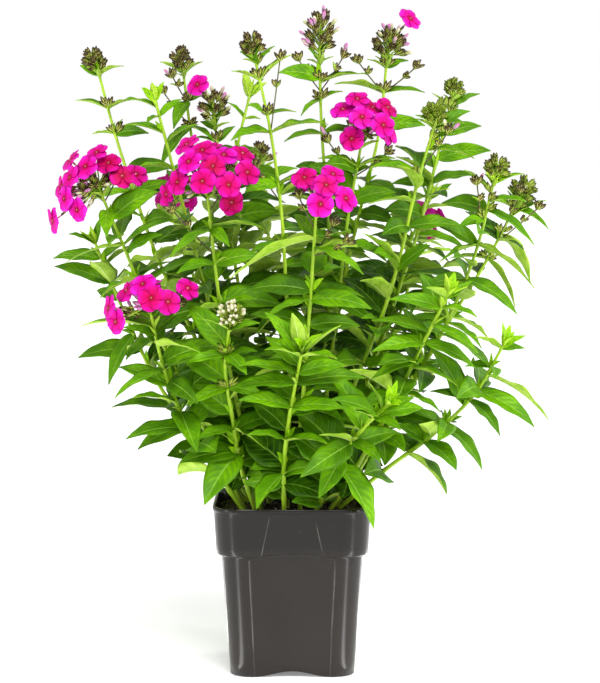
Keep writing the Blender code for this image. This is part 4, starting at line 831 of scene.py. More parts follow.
BLADE_THICKNESS = 0.00045
MIDRIB_THICKNESS = 0.0012
MIDRIB_WIDTH = 0.0007
MIDRIB_GROOVE = 0.0005
EDGE_WAVE = 0.15
VEIN_PAIRS = 8
VEINY_LENGTH = 0.075
VEIN_SWEEP = 0.26
VEIN_BEND = 1.3
QUILT_DEPTH = 0.0008
QUILT_HALF = 0.008
STALK_SIDES = 10
STALK_STEP = 0.006
JOINT_SWELL = 0.22
JOINT_REACH = 0.003
LINK_RADIUS = 0.0009
PEDICEL_RADIUS = 0.0006
JOIN = 0.0005

# Buds: shares of the length, and the width and the depth of the ribs there
FINE_BUD_LENGTH = 0.0132
FINE_BUD_RADIUS = 0.0021
CALYX_STATIONS = (0.0, 0.14, 0.4, 0.66, 0.86, 1.0)
CALYX_WIDTHS = (0.4, 0.8, 1.0, 0.8, 0.42, 0.05)
CALYX_RIBS = (0.04, 0.08, 0.12, 0.22, 0.4, 0.5)
FURLED_STATIONS = (0.0, 0.25, 0.5, 0.72, 0.9, 1.0)
FURLED_WIDTHS = (0.5, 0.75, 1.0, 0.95, 0.5, 0.1)
FURLED_SUNK = 0.005
FURLED_REACH = (0.004, 0.008)
FURLED_RIB = 0.12
CALYX_SIDES = 10
CALYX_POINTS = 5
BUD_GIRTHS = (0.82, 1.12)
BUD_LENGTHS = (0.8, 1.08)
BUD_LONGEST = 0.85
BUD_SPREAD = (0.0034, 0.0014)
BUD_DROP = (0.0005, 0.004)

# Flowers
PETAL_ROWS = 10
PETAL_COLUMNS = 7
PETAL_TIP_ROWS = (0.88, 0.94, 0.975, 0.994)
PETAL_WIDTH = 0.56
PETAL_WIDEST = 0.6
PETAL_CLAW = 0.16
PETAL_CUP = 0.1
PETAL_TILT = 0.0011
PETAL_RUFFLE = 0.0005
PETAL_NOTCH = 0.035
PETAL_SHEET = 0.0003
COROLLA_TUBE = 0.021
COROLLA_RADII = (0.0008, 0.0009, 0.0009, 0.001, 0.0011, 0.0013, 0.0016)
EYE_RISES = (0.0001, 0.0006, 0.0008)
EYE_RADII = (0.0016, 0.0014, 0.0008)
OPEN_CALYX_LENGTH = 0.0085
OPEN_CALYX_RADIUS = 0.0014
OPEN_CALYX_WIDTHS = (0.5, 0.9, 1.0, 0.95, 0.8)
OPEN_CALYX_RIB = 0.15


def units(vectors):
    return vectors / np.linalg.norm(vectors, axis=-1, keepdims=True)


def lofted(rings, start, end, under_from=None):
    """Points, quads and triangles of a closed shell: rings in a row between two end points. From one column
    on, where a thin sheet's other side starts, quads split the other way, so that both sides bend alike"""
    levels, count, _ = rings.shape
    points = np.concatenate(([start], rings.reshape(-1, 3), [end]))
    i = np.arange(count)
    j = (i + 1) % count
    quads = []
    for level in range(levels - 1):
        low, high = 1 + level * count, 1 + (level + 1) * count
        band = np.stack((low + i, low + j, high + j, high + i), axis=1)
        if under_from is not None:
            band[under_from:] = np.roll(band[under_from:], -1, axis=1)
        quads.append(band)
    top = 1 + (levels - 1) * count
    last = len(points) - 1
    triangles = np.concatenate((np.stack((0 * i, 1 + j, 1 + i), axis=1),
                                np.stack((last + 0 * i, top + i, top + j), axis=1)))
    return points, np.concatenate(quads), triangles


def strip_places(levels, count, along, across, tone):
    """The places of a lofted shell's points: its start, its rings and its end"""
    places = np.zeros((levels * count + 2, 3))
    places[1:-1, 0] = np.repeat(along, count)
    places[1:-1, 1] = np.tile(across, levels)
    places[:, 2] = tone
    places[-1, 0] = 1.0
    return places


def linked(name, data, place=(0.0, 0.0, 0.0)):
    """A new object in the scene"""
    made = bpy.data.objects.new(name, data)
    made.location = place
    bpy.context.scene.collection.objects.link(made)
    return made


class Piece:
    """Gathers closed shells into one mesh. Each point keeps its place on its shell: along, across, tone"""

    def __init__(self, name, slot, node):
        self.name = name
        self.slot = slot
        self.nodes = [node]
        self.points, self.places = [], []
        self.quads, self.triangles = [], []
        self.quad_kinds, self.triangle_kinds = [], []
        self.count = 0

    def add(self, shell, places, kinds=0, end_kind=0):
        """kinds is one surface number, or one for each quad"""
        points, quads, triangles = shell
        self.points.append(points)
        self.places.append(places)
        self.quads.append(quads + self.count)
        self.triangles.append(triangles + self.count)
        self.quad_kinds.append(np.broadcast_to(kinds, len(quads)))
        self.triangle_kinds.append(np.full(len(triangles), end_kind))
        self.count += len(points)

    def mesh(self):
        quads, triangles = np.concatenate(self.quads), np.concatenate(self.triangles)
        corners = np.concatenate((quads.ravel(), triangles.ravel()))
        starts = np.concatenate((np.arange(len(quads)) * 4, 4 * len(quads) + np.arange(len(triangles)) * 3))
        mesh = bpy.data.meshes.new(self.name)
        mesh.vertices.add(self.count)
        mesh.vertices.foreach_set("co", np.concatenate(self.points).ravel())
        mesh.loops.add(len(corners))
        mesh.loops.foreach_set("vertex_index", corners)
        mesh.polygons.add(len(starts))
        mesh.polygons.foreach_set("loop_start", starts)
        mesh.polygons.foreach_set("material_index", np.concatenate(self.quad_kinds + self.triangle_kinds))
        mesh.update(calc_edges=True)
        place = mesh.attributes.new("place", "FLOAT_VECTOR", "POINT")
        place.data.foreach_set("vector", np.concatenate(self.places).ravel())
        mesh.shade_smooth()
        for surface in SURFACES[self.slot]:
            mesh.materials.append(surface)
        return mesh

    def finish(self):
        made = linked(self.name, self.mesh())
        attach(made, "root")
        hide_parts(*self.nodes)


def add_sheet(piece, top, under, ends, places_along, across, tone, kind, under_kind):
    """A thin sheet from the rows of its upper and under side"""
    columns = top.shape[1]
    rings = np.concatenate((top, under[:, columns - 2:0:-1]), axis=1)
    round_across = np.concatenate((across, across[columns - 2:0:-1]))
    places = strip_places(len(rings), len(round_across), places_along, round_across, tone)
    kinds = np.tile(np.repeat((kind, under_kind), columns - 1), len(rings) - 1)
    piece.add(lofted(rings, *ends, columns - 1), places, kinds, kind)


def add_leaf(piece, leaf, tone, detail=LARGE, kind=LEAF):
    """A thin blade with a folded midrib, waved edges and a surface quilted between its curved veins"""
    draw = random.Random(f"fine {leaf.length:.5f} {leaf.tip[0]:.4f}")
    rows, columns = detail
    u = np.linspace(0.01, 0.985, rows)[:, None]
    v = np.linspace(-1, 1, columns)[None, :]
    ahead = units(leaf.ahead(u))
    side = units(leaf.side - ahead * (ahead @ leaf.side)[:, None])
    upper = np.cross(side, ahead)
    half = np.array([leaf.across(share) for share in u[:, 0]])[:, None]
    beats = draw.uniform(1.6, 2.6)
    turns = np.where(v > 0, draw.uniform(0, 6), draw.uniform(0, 6))
    swing = EDGE_WAVE * draw.uniform(0.5, 1.3)
    wave = swing * v ** 2 * np.sin(2 * math.pi * beats * u + turns) * np.sin(math.pi * u)
    pairs = min(1.0, leaf.length / VEINY_LENGTH)
    phase = (u * pairs - VEIN_SWEEP * np.abs(v) ** VEIN_BEND) * VEIN_PAIRS
    quilt = QUILT_DEPTH * np.abs(np.sin(math.pi * phase)) ** 0.8 * (1 - np.abs(v) ** 3) * np.abs(v) ** 0.4
    middle = np.exp(-(v * half / MIDRIB_WIDTH) ** 2) * (1 - 0.75 * u)
    relief = (quilt - MIDRIB_GROOVE * middle) * np.minimum(half / QUILT_HALF, 1)
    lift = half * (leaf.fold * np.abs(v) ** LEAF_FOLD_POWER + wave) + relief
    thickness = BLADE_THICKNESS * (1 - v ** 4) + (MIDRIB_THICKNESS - BLADE_THICKNESS) * middle
    top = leaf.spine(u)[:, None] + side[:, None] * (v * half)[:, :, None] + upper[:, None] * lift[:, :, None]
    under = top - upper[:, None] * thickness[:, :, None]
    add_sheet(piece, top, under, (leaf.root, leaf.tip), u[:, 0] * pairs, v[0], tone, kind, kind + 1)


def add_rod(piece, path, radii, sides, tone, kind, ribs=0, rib_depth=0.0):
    rings = tube_rings(path, radii, sides, ribs, rib_depth)
    along = np.linspace(0, 1, len(path))
    across = np.linspace(0, 1, sides)
    places = strip_places(len(path), sides, along, across, tone)
    piece.add(lofted(rings, np.array(path[0]), np.array(path[-1])), places, kind, kind)


def add_link(piece, start, end, bend, radius, kind, sides=6):
    """A thin stalk that bows a little on its way"""
    path = bowed(start, 0.5 * (start + end) + bend, end, np.linspace(0, 1, 4)[:, None])
    add_rod(piece, path, [radius] * len(path), sides, 0.5, kind)


def add_stalk(piece, name, joints):
    """The smooth stem, a little swollen where its leaves stand"""
    curve = Curve(stem_path(name)[0])
    steps = int(curve.length / STALK_STEP)
    lengths = np.linspace(0, curve.length, steps + 1)
    points = [curve.at(length) for length in lengths]
    radii = []
    for length, point in zip(lengths, points):
        share = np.clip((length - STEM_FOOT_DEPTH) / (curve.length - STEM_FOOT_DEPTH), 0, 1)
        radius = STEM_FOOT_RADIUS + (STEM_TIP_RADIUS - STEM_FOOT_RADIUS) * share
        near = min([abs(point[2] - joint) for joint in joints], default=1.0)
        radii.append(radius * (1 + JOINT_SWELL * math.exp(-(near / JOINT_REACH) ** 2)))
    add_rod(piece, points, radii, STALK_SIDES, 0.0, STALK)


def add_bud(piece, base, tip, draw, tone, petals=False, petal_tone=1.0):
    """A slim calyx, ribbed, with five awl-shaped points, and the furled petals that stand out of some"""
    way = unit(tip - base)
    length = np.linalg.norm(tip - base)
    radius = FINE_BUD_RADIUS * draw.uniform(*BUD_GIRTHS)
    path = base + np.array(CALYX_STATIONS)[:, None] * way * length
    widths = radius * np.array(CALYX_WIDTHS)
    add_rod(piece, path, widths, CALYX_SIDES, tone, CALYX, CALYX_POINTS, np.array(CALYX_RIBS))
    if petals:
        reach = draw.uniform(*FURLED_REACH) * (0.4 + 0.6 * petal_tone)
        foot = tip - way * FURLED_SUNK
        path = foot + np.array(FURLED_STATIONS)[:, None] * way * (reach + FURLED_SUNK)
        widths = radius * np.array(FURLED_WIDTHS)
        furled_tone = petal_tone * draw.random()
        add_rod(piece, path, widths, CALYX_SIDES, furled_tone, FURLED, CALYX_POINTS, FURLED_RIB)


def add_bud_group(piece, knot, out, centre, count, draw, tone, petal_share=0.0, petal_tone=1.0, width=1.0):
    """Buds that fan out from one knot, each on a short stalk"""
    side = sideways(out)
    reach = np.linalg.norm(centre - knot)
    least, more = BUD_SPREAD
    for k in range(count):
        spread = 0.0 if k == 0 else width * (least + more * draw.random())
        turn = turned(side, out, 2 * math.pi * k / max(count - 1, 1) + draw.uniform(-0.3, 0.3))
        end = centre + spread * turn - out * (0.0 if k == 0 else width * draw.uniform(*BUD_DROP))
        lean = unit(end - knot)
        length = min(FINE_BUD_LENGTH * draw.uniform(*BUD_LENGTHS), BUD_LONGEST * reach)
        foot = end - lean * length
        add_link(piece, knot, foot + lean * JOIN, 0 * out, PEDICEL_RADIUS, DARK_STALK, 4)
        bud_tone = tone + draw.uniform(-0.3, 0.3)
        add_bud(piece, foot, end, draw, bud_tone, draw.random() < petal_share, petal_tone)


def add_bract(piece, root, tip, way, seed, tone=0.4):
    add_leaf(piece, Leaf(root, tip, way, seed), tone, SMALL, BRACT)


def add_petal(piece, flower, k, tone):
    """One broad rounded lobe, one edge under its neighbour and the other over the next"""
    draw = random.Random(f"petal {flower.middle[0]:.4f} {k}")
    ahead = turned(flower.side, flower.way, flower.spin + k * 2 * math.pi / 5 + draw.uniform(-0.04, 0.04))
    side = np.cross(ahead, flower.way)
    radius = flower.radius * draw.uniform(0.97, 1.03)
    x = np.concatenate((np.linspace(0.06, 0.8, PETAL_ROWS - len(PETAL_TIP_ROWS)), PETAL_TIP_ROWS))
    w = np.linspace(-1, 1, PETAL_COLUMNS)
    grown = np.sin(0.5 * math.pi * np.clip(x / PETAL_WIDEST, 0, 1)) ** 1.2
    closing = np.clip((x - PETAL_WIDEST) / (1 - PETAL_WIDEST), 0, 1)
    half = PETAL_WIDTH * radius * (PETAL_CLAW + (1 - PETAL_CLAW) * grown) * np.sqrt(1 - closing ** 2.3)
    x, half, row = x[:, None], half[:, None], w[None, :]
    notch = PETAL_NOTCH * radius * np.exp(-(row / 0.3) ** 2) * np.clip((x - 0.7) / 0.3, 0, 1) ** 2
    rise = PETAL_TILT * row * x + flower.lifts[k] * x - PETAL_CUP * radius * x ** 2
    rise = rise + PETAL_RUFFLE * (np.sin(5 * row + draw.uniform(0, 6)) * x ** 2 + (1 - np.abs(row)) * x)
    top = flower.middle + ahead * (x * radius - notch)[:, :, None] + side * (row * half)[:, :, None]
    top = top + flower.way * rise[:, :, None]
    under = top - flower.way * (PETAL_SHEET * (1 - w ** 4))[None, :, None]
    ends = (flower.middle - 0.0004 * flower.way, top[-1].mean(axis=0) + ahead * 0.0001)
    add_sheet(piece, top, under, ends, x[:, 0], w, tone, LOBE, LOBE)


def add_flower(petals, buds, flower, heart, tone):
    """Five lobes, a pale eye, a slender tube and the calyx that holds it on its stalk"""
    for k in range(5):
        add_petal(petals, flower, k, tone)
    way = unit(flower.middle - heart)
    reach = np.linalg.norm(flower.middle - heart)
    tube_length = min(COROLLA_TUBE, 0.75 * reach)
    foot = flower.middle - way * tube_length
    throat = flower.middle - flower.way * 0.0016
    bend = 0.5 * (foot + throat) + 0.15 * tube_length * (way - flower.way)
    path = bowed(foot, bend, flower.middle, np.linspace(0, 1, len(COROLLA_RADII))[:, None])
    add_rod(petals, path, COROLLA_RADII, 8, tone, FLOWER_TUBE)
    add_rod(petals, [flower.middle + flower.way * rise for rise in EYE_RISES], EYE_RADII, 10, tone, EYE)
    calyx = foot + way * min(OPEN_CALYX_LENGTH, 0.5 * tube_length)
    widths = OPEN_CALYX_RADIUS * np.array(OPEN_CALYX_WIDTHS)
    path = foot + np.linspace(0, 1, len(widths))[:, None] * (calyx - foot)
    add_rod(buds, path, widths, CALYX_SIDES, 0.4, CALYX, CALYX_POINTS, OPEN_CALYX_RIB)
    if reach - tube_length > 0.002:
        draw = random.Random(f"stalk {flower.middle[0]:.4f}")
        bend = np.array([draw.uniform(-0.002, 0.002) for _ in range(3)])
        add_link(buds, heart, foot + way * JOIN, bend, LINK_RADIUS, STALK)


# Surfaces

class Surface:
    """A Principled material put together node by node"""

    def __init__(self, name, **constants):
        self.made = bpy.data.materials.new(name)
        self.made.use_nodes = True
        self.tree = self.made.node_tree
        self.shader = self.tree.nodes["Principled BSDF"]
        for socket, value in constants.items():
            self.shader.inputs[socket.replace("_", " ")].default_value = value
        place = self.node("Attribute", attribute_name="place")
        self.along, self.across, self.tone = self.node("SeparateXYZ", place.outputs["Vector"]).outputs

    def put(self, socket, value):
        if isinstance(value, bpy.types.NodeSocket):
            self.tree.links.new(value, socket)
        else:
            socket.default_value = value

    def node(self, kind, *values, **settings):
        """A new node with its settings, its first inputs given"""
        made = self.tree.nodes.new("ShaderNode" + kind)
        for setting, value in settings.items():
            setattr(made, setting, value)
        for socket, value in zip(made.inputs, values):
            self.put(socket, value)
        return made

    def math(self, operation, *values):
        return self.node("Math", *values, operation=operation).outputs[0]

    def times(self, first, second):
        return self.math("MULTIPLY", first, second)

    def span(self, value, low, high, start=0.0, end=1.0):
        """The value's share of the way from low to high, eased, as a number from start to end"""
        return self.node("MapRange", value, low, high, start, end, interpolation_type="SMOOTHSTEP").outputs[0]

    def mix(self, share, first, second):
        node = self.node("Mix", share, data_type="RGBA")
        sockets = [socket for socket in node.inputs if socket.type == "RGBA"]
        for socket, colour in zip(sockets, (first, second)):
            self.put(socket, colour if isinstance(colour, bpy.types.NodeSocket) else (*colour, 1.0))
        return [socket for socket in node.outputs if socket.type == "RGBA"][0]

    def layers(self, colour, *layers):
        """The colour with others laid over it, each as far as its mask and strength say"""
        for mask, strength, tint in layers:
            colour = self.mix(self.times(mask, strength), colour, tint)
        return colour

    def noise(self, scale, detail=3.0, stretch=None):
        where = self.node("TexCoord").outputs["Object"]
        if stretch:
            mapping = self.node("Mapping", where)
            mapping.inputs["Scale"].default_value = stretch
            where = mapping.outputs[0]
        node = self.node("TexNoise", where)
        node.inputs["Scale"].default_value = scale
        node.inputs["Detail"].default_value = detail
        return node.outputs["Fac"]

    def patches(self, scale, low=0.35, high=0.65, **settings):
        """Soft patches: 0 where the noise is low, 1 where it is high"""
        return self.span(self.noise(scale, **settings), low, high)

    def finish(self, colour, roughness, height=None, strength=0.3, distance=0.0005):
        """Roughness and height are each a number from a node, the height for a fine bump"""
        self.put(self.shader.inputs["Base Color"], colour)
        self.put(self.shader.inputs["Roughness"], roughness)
        if height is not None:
            bump = self.node("Bump")
            for name, value in (("Strength", strength), ("Distance", distance), ("Height", height)):
                self.put(bump.inputs[name], value)
            self.put(self.shader.inputs["Normal"], bump.outputs[0])
        return self.made


def vein_masks(skin):
    """The midrib, the curved veins that leave it in pairs, and the furrows they lie in, which the upper side
    darkens as painted shade
    """
    off_middle = skin.math("ABSOLUTE", skin.across)
    midrib = skin.span(off_middle, 0.015, 0.075, 1.0, 0.0)
    swept = skin.times(skin.math("POWER", off_middle, VEIN_BEND), VEIN_SWEEP)
    phase = skin.times(skin.math("SUBTRACT", skin.along, swept), float(VEIN_PAIRS))
    nearest = skin.math("PINGPONG", phase, 0.5)
    fading = skin.span(off_middle, 0.55, 0.92, 1.0, 0.0)
    veins = skin.times(skin.span(nearest, 0.0, 0.1, 1.0, 0.0), fading)
    furrow_shade = skin.times(skin.span(nearest, 0.06, 0.4, 1.0, 0.0), fading)
    return midrib, veins, furrow_shade


def leaf_upper():
    """Old leaves are deep green, grown ones fresh green and young ones lime. The deep green also gives
    painted shade to leaves behind and inside the plant, and the furrows beside the veins get painted shade
    """
    skin = Surface("leaf upper side", Specular_IOR_Level=0.12)
    midrib, veins, furrow_shade = vein_masks(skin)
    cloud = skin.patches(45.0)
    # deep green of old leaves, which low tones also use as painted shade for leaves behind and inside the
    # plant
    old_and_shaded = skin.mix(cloud, (0.012, 0.045, 0.001), (0.04, 0.12, 0.001))
    grown = skin.mix(cloud, (0.085, 0.25, 0.001), (0.16, 0.39, 0.001))
    young = skin.mix(cloud, (0.28, 0.6, 0.002), (0.38, 0.7, 0.004))
    edge = skin.span(skin.math("ABSOLUTE", skin.across), 0.8, 1.0)
    # painted shade: the furrows beside the veins are darkened in the layers below
    colour = skin.layers(old_and_shaded,
                         (skin.span(skin.tone, 0.0, 0.5), 1.0, grown),
                         (skin.span(skin.tone, 0.5, 1.0), 1.0, young),
                         (furrow_shade, 0.45, (0.025, 0.11, 0.001)),
                         (edge, 0.35, (0.15, 0.36, 0.015)),
                         (veins, 0.36, (0.2, 0.42, 0.03)),
                         (midrib, 0.65, (0.27, 0.48, 0.06)))
    grain = skin.noise(500.0, 2.0)
    grooves = skin.times(skin.math("MAXIMUM", midrib, veins), -1.0)
    relief = skin.math("ADD", grooves, skin.times(grain, 0.15))
    return skin.finish(colour, skin.span(grain, 0.2, 0.8, 0.36, 0.5), relief, 0.5)


def leaf_lower():
    skin = Surface("leaf lower side", Specular_IOR_Level=0.12)
    midrib, veins, _ = vein_masks(skin)
    pale = skin.mix(skin.patches(60.0), (0.24, 0.43, 0.02), (0.38, 0.56, 0.06))
    colour = skin.layers(pale,
                         (skin.span(skin.tone, 0.6, 1.0), 1.0, (0.42, 0.66, 0.03)),
                         (veins, 0.4, (0.5, 0.66, 0.2)),
                         (midrib, 0.9, (0.56, 0.7, 0.26)))
    grain = skin.noise(500.0, 2.0)
    relief = skin.math("ADD", skin.math("MAXIMUM", midrib, veins), skin.times(grain, 0.12))
    return skin.finish(colour, skin.span(grain, 0.2, 0.8, 0.55, 0.7), relief, 0.35)


def stalk_skin():
    """Browner near the soil, with fine streaks along it"""
    skin = Surface("stalk", Specular_IOR_Level=0.35)
    cloud = skin.patches(30.0, 0.3, 0.7)
    streak = skin.patches(350.0, detail=2.0, stretch=(1.0, 1.0, 0.05))
    low = skin.mix(cloud, (0.18, 0.3, 0.01), (0.22, 0.24, 0.02))
    high = skin.mix(cloud, (0.28, 0.48, 0.008), (0.38, 0.58, 0.02))
    colour = skin.layers(low,
                         (skin.span(skin.along, 0.02, 0.16), 1.0, high),
                         (streak, 0.3, (0.15, 0.3, 0.015)))
    return skin.finish(colour, skin.span(cloud, 0.0, 1.0, 0.38, 0.5), streak, 0.25)


def dark_stalk_skin():
    skin = Surface("dark stalk")
    cloud = skin.patches(120.0)
    colour = skin.mix(cloud, (0.05, 0.022, 0.016), (0.12, 0.13, 0.03))
    return skin.finish(colour, skin.span(cloud, 0.0, 1.0, 0.45, 0.6))


def petal_skin():
    """Magenta, more lilac at the rim, with a dark star round the eye and faint veins"""
    skin = Surface("petal", Specular_IOR_Level=0.08)
    body = skin.mix(skin.tone, (0.46, 0.0, 0.07), (0.6, 0.001, 0.3))
    rim = skin.mix(skin.tone, (0.58, 0.001, 0.26), (0.72, 0.02, 0.56))
    streak = skin.noise(420.0, 2.0)
    narrow = skin.times(skin.math("ABSOLUTE", skin.across), 0.16)
    star = skin.span(skin.math("ADD", skin.along, narrow), 0.16, 0.46, 1.0, 0.0)
    vein = skin.span(skin.math("PINGPONG", skin.times(skin.across, 4.0), 0.5), 0.0, 0.12, 1.0, 0.0)
    colour = skin.layers(body,
                         (skin.span(skin.along, 0.45, 1.0), 1.0, rim),
                         (skin.span(streak, 0.45, 0.7), 0.35, (0.68, 0.0, 0.2)),
                         (star, 1.0, (0.32, 0.0, 0.02)),
                         (vein, 0.2, (0.5, 0.0, 0.12)))
    return skin.finish(colour, skin.span(streak, 0.3, 0.7, 0.45, 0.6), streak)


def corolla_tube_skin():
    skin = Surface("flower tube")
    colour = skin.mix(skin.along, (0.62, 0.36, 0.38), (0.72, 0.1, 0.32))
    return skin.finish(colour, skin.span(skin.noise(300.0), 0.3, 0.7, 0.45, 0.6))


def eye_skin():
    skin = Surface("flower eye")
    colour = skin.mix(skin.span(skin.along, 0.8, 1.0), (0.09, 0.0, 0.012), (0.42, 0.13, 0.06))
    return skin.finish(colour, skin.span(skin.noise(900.0), 0.3, 0.7, 0.5, 0.7))


def calyx_skin():
    """Green to dark brown, darker toward the tip, with pale seams between its points"""
    skin = Surface("calyx", Specular_IOR_Level=0.2)
    cloud = skin.patches(200.0, detail=2.0)
    green = skin.mix(cloud, (0.08, 0.16, 0.003), (0.2, 0.32, 0.008))
    brown = skin.mix(cloud, (0.02, 0.011, 0.006), (0.075, 0.04, 0.016))
    dark = skin.span(skin.math("ADD", skin.along, skin.times(skin.tone, 0.6)), 0.25, 0.85)
    groove = skin.math("PINGPONG", skin.times(skin.across, 4.5), 0.5)
    reach = skin.span(skin.along, 0.4, 0.82, 0.95, 0.0)
    colour = skin.layers(green, (dark, 1.0, brown), (skin.span(groove, 0.24, 0.4), reach, (0.58, 0.58, 0.14)))
    return skin.finish(colour, skin.span(cloud, 0.0, 1.0, 0.38, 0.5), groove)


def furled_skin():
    """Petals still rolled up: whitish, or lilac where the tone is high"""
    skin = Surface("furled petals", Specular_IOR_Level=0.3)
    toward_tip = skin.span(skin.along, 0.2, 1.0)
    pale = skin.mix(toward_tip, (0.42, 0.46, 0.16), (0.68, 0.62, 0.5))
    lilac = skin.mix(toward_tip, (0.5, 0.3, 0.42), (0.55, 0.12, 0.4))
    colour = skin.mix(skin.span(skin.tone, 0.35, 0.6), pale, lilac)
    return skin.finish(colour, skin.span(skin.noise(400.0), 0.3, 0.7, 0.4, 0.6))


def pot_skin():
    """Black-brown plastic with faint dust; the collar is darkened as painted shade, and pale painted
    highlight lines run along the beads and the lip in places
    """
    skin = Surface("pot plastic", Specular_IOR_Level=0.3)
    cloud = skin.patches(9.0, 0.3, 0.7, detail=4.0)
    plastic = skin.mix(cloud, (0.0115, 0.009, 0.0075), (0.0165, 0.013, 0.011))
    # painted highlight: how strongly the pale lines along the beads and the lip show, varied by noise
    highlight_strength = skin.span(skin.noise(25.0, 2.0), 0.35, 0.7, 0.0, 0.45)
    # painted shade: the collar is darker than the body, from a little above its foot up
    colour = skin.layers(plastic,
                         (skin.span(skin.along, 0.0, 0.3, 0.0, 0.6), 1.0, (0.003, 0.0025, 0.002)),
                         (skin.patches(130.0, 0.66, 0.82, detail=4.0), 0.12, (0.08, 0.07, 0.058)),
                         (skin.span(skin.tone, 0.3, 1.0), highlight_strength, (0.22, 0.2, 0.18)))
    scuff = skin.patches(50.0, 0.2, 0.9, detail=5.0, stretch=(1.0, 1.0, 0.25))
    roughness = skin.math("ADD", skin.times(scuff, 0.06), 0.2)
    return skin.finish(colour, roughness, skin.noise(1500.0, 2.0), 0.05, 0.0003)


def soil_skin():
    """Dark brown crumbs, with a few pale grains where the tone is high"""
    skin = Surface("soil crumbs")
    dark = skin.mix(skin.patches(90.0, 0.35, 0.7, detail=5.0), (0.018, 0.01, 0.007), (0.06, 0.034, 0.02))
    fine = skin.noise(700.0, 4.0)
    colour = skin.layers(dark,
                         (skin.span(fine, 0.6, 0.75), 0.5, (0.14, 0.085, 0.05)),
                         (skin.span(skin.tone, 0.93, 0.97), 1.0, (0.5, 0.45, 0.38)))
    return skin.finish(colour, skin.span(fine, 0.3, 0.7, 0.8, 1.0), fine, 0.8, 0.001)


def slot_surfaces():
    """Each slot's materials, in the order of the numbers that faces carry"""
    foliage = [leaf_upper(), leaf_lower(), stalk_skin()]
    return {
        "pot": [pot_skin()],
        "soil": [soil_skin()],
        "foliage": foliage,
        "buds": [calyx_skin(), furled_skin(), foliage[STALK], foliage[LEAF], foliage[LEAF_UNDER],
                 dark_stalk_skin()],
        "petals": [petal_skin(), corolla_tube_skin(), eye_skin()],
    }


# Pot and soil

ROUND_STEPS = 12
FACE_RECESS = 0.0016
RECESS_RUN = 0.009
BEAD_HEIGHT = 0.0007
BEAD_WIDTH = 0.0009
BEAD_STOPS = np.array((-0.0022, -0.0014, -0.0009, -0.0005, 0.0, 0.0005, 0.0009, 0.0014, 0.0022))
BEAD_SPACE = 0.004
BEAD_INSET = 0.0028
# widths of the painted highlight lines along the body's corner beads and the collar's panel beads
HIGHLIGHT_WIDTHS = (0.0008, 0.0007)
SOIL_RINGS = 24
RIPPLE_HEIGHT = 0.0014
CRUMBS = 700
CRUMB_STATIONS = np.array((-0.8, -0.2, 0.5, 0.9))
CRUMB_WIDTHS = np.array((0.5, 0.95, 0.8, 0.35))


def side_stops(reach, panel_half):
    """Places along one side, closer together at the beads that edge its panel and its corners"""
    edge = reach - BEAD_INSET
    panel = np.linspace(0, panel_half - BEAD_SPACE, 5)
    beside = np.linspace(panel_half + BEAD_SPACE, edge - BEAD_SPACE, 5)
    half = np.concatenate((panel, panel_half + BEAD_STOPS, beside, edge + BEAD_STOPS))
    return np.concatenate((-half[:0:-1], half))


def smooth_ring(half, height, arch=0.0, panel_half=PANEL_HALF_TOP, sink=0.0, recess=0.0):
    """A rounded square with fine beads beside its panel or its corners, and a curved arch"""
    corner = half * CORNER_SHARE
    reach = half - corner
    along = side_stops(reach, panel_half)
    off = np.abs(along)
    slope = np.clip((reach - off) / (reach - panel_half), 0, 1)
    inside = np.sin(np.clip((reach - off) / RECESS_RUN, 0, 1) * math.pi / 2)
    panel_bead = np.exp(-((off - panel_half) / BEAD_WIDTH) ** 2) * min(sink / PANEL_SINK, 1.0)
    corner_bead = np.exp(-((off - reach + BEAD_INSET) / BEAD_WIDTH) ** 2) * min(recess / FACE_RECESS, 1.0)
    bead = BEAD_HEIGHT * np.maximum(panel_bead, corner_bead)
    rise = arch * 0.5 * (1 + np.cos(math.pi * along / reach))
    side = np.stack((half - sink * slope - recess * inside + bead, along, rise), axis=1)
    return four_sides(side, half, ROUND_STEPS, height)


def stop(steps, half, height, arch=0.0, panel_half=PANEL_HALF_TOP, sink=0.0, recess=0.0):
    """Settings of one ring of the pot, and the number of steps to the next"""
    return steps, np.array((half, height, arch, panel_half, sink, recess))


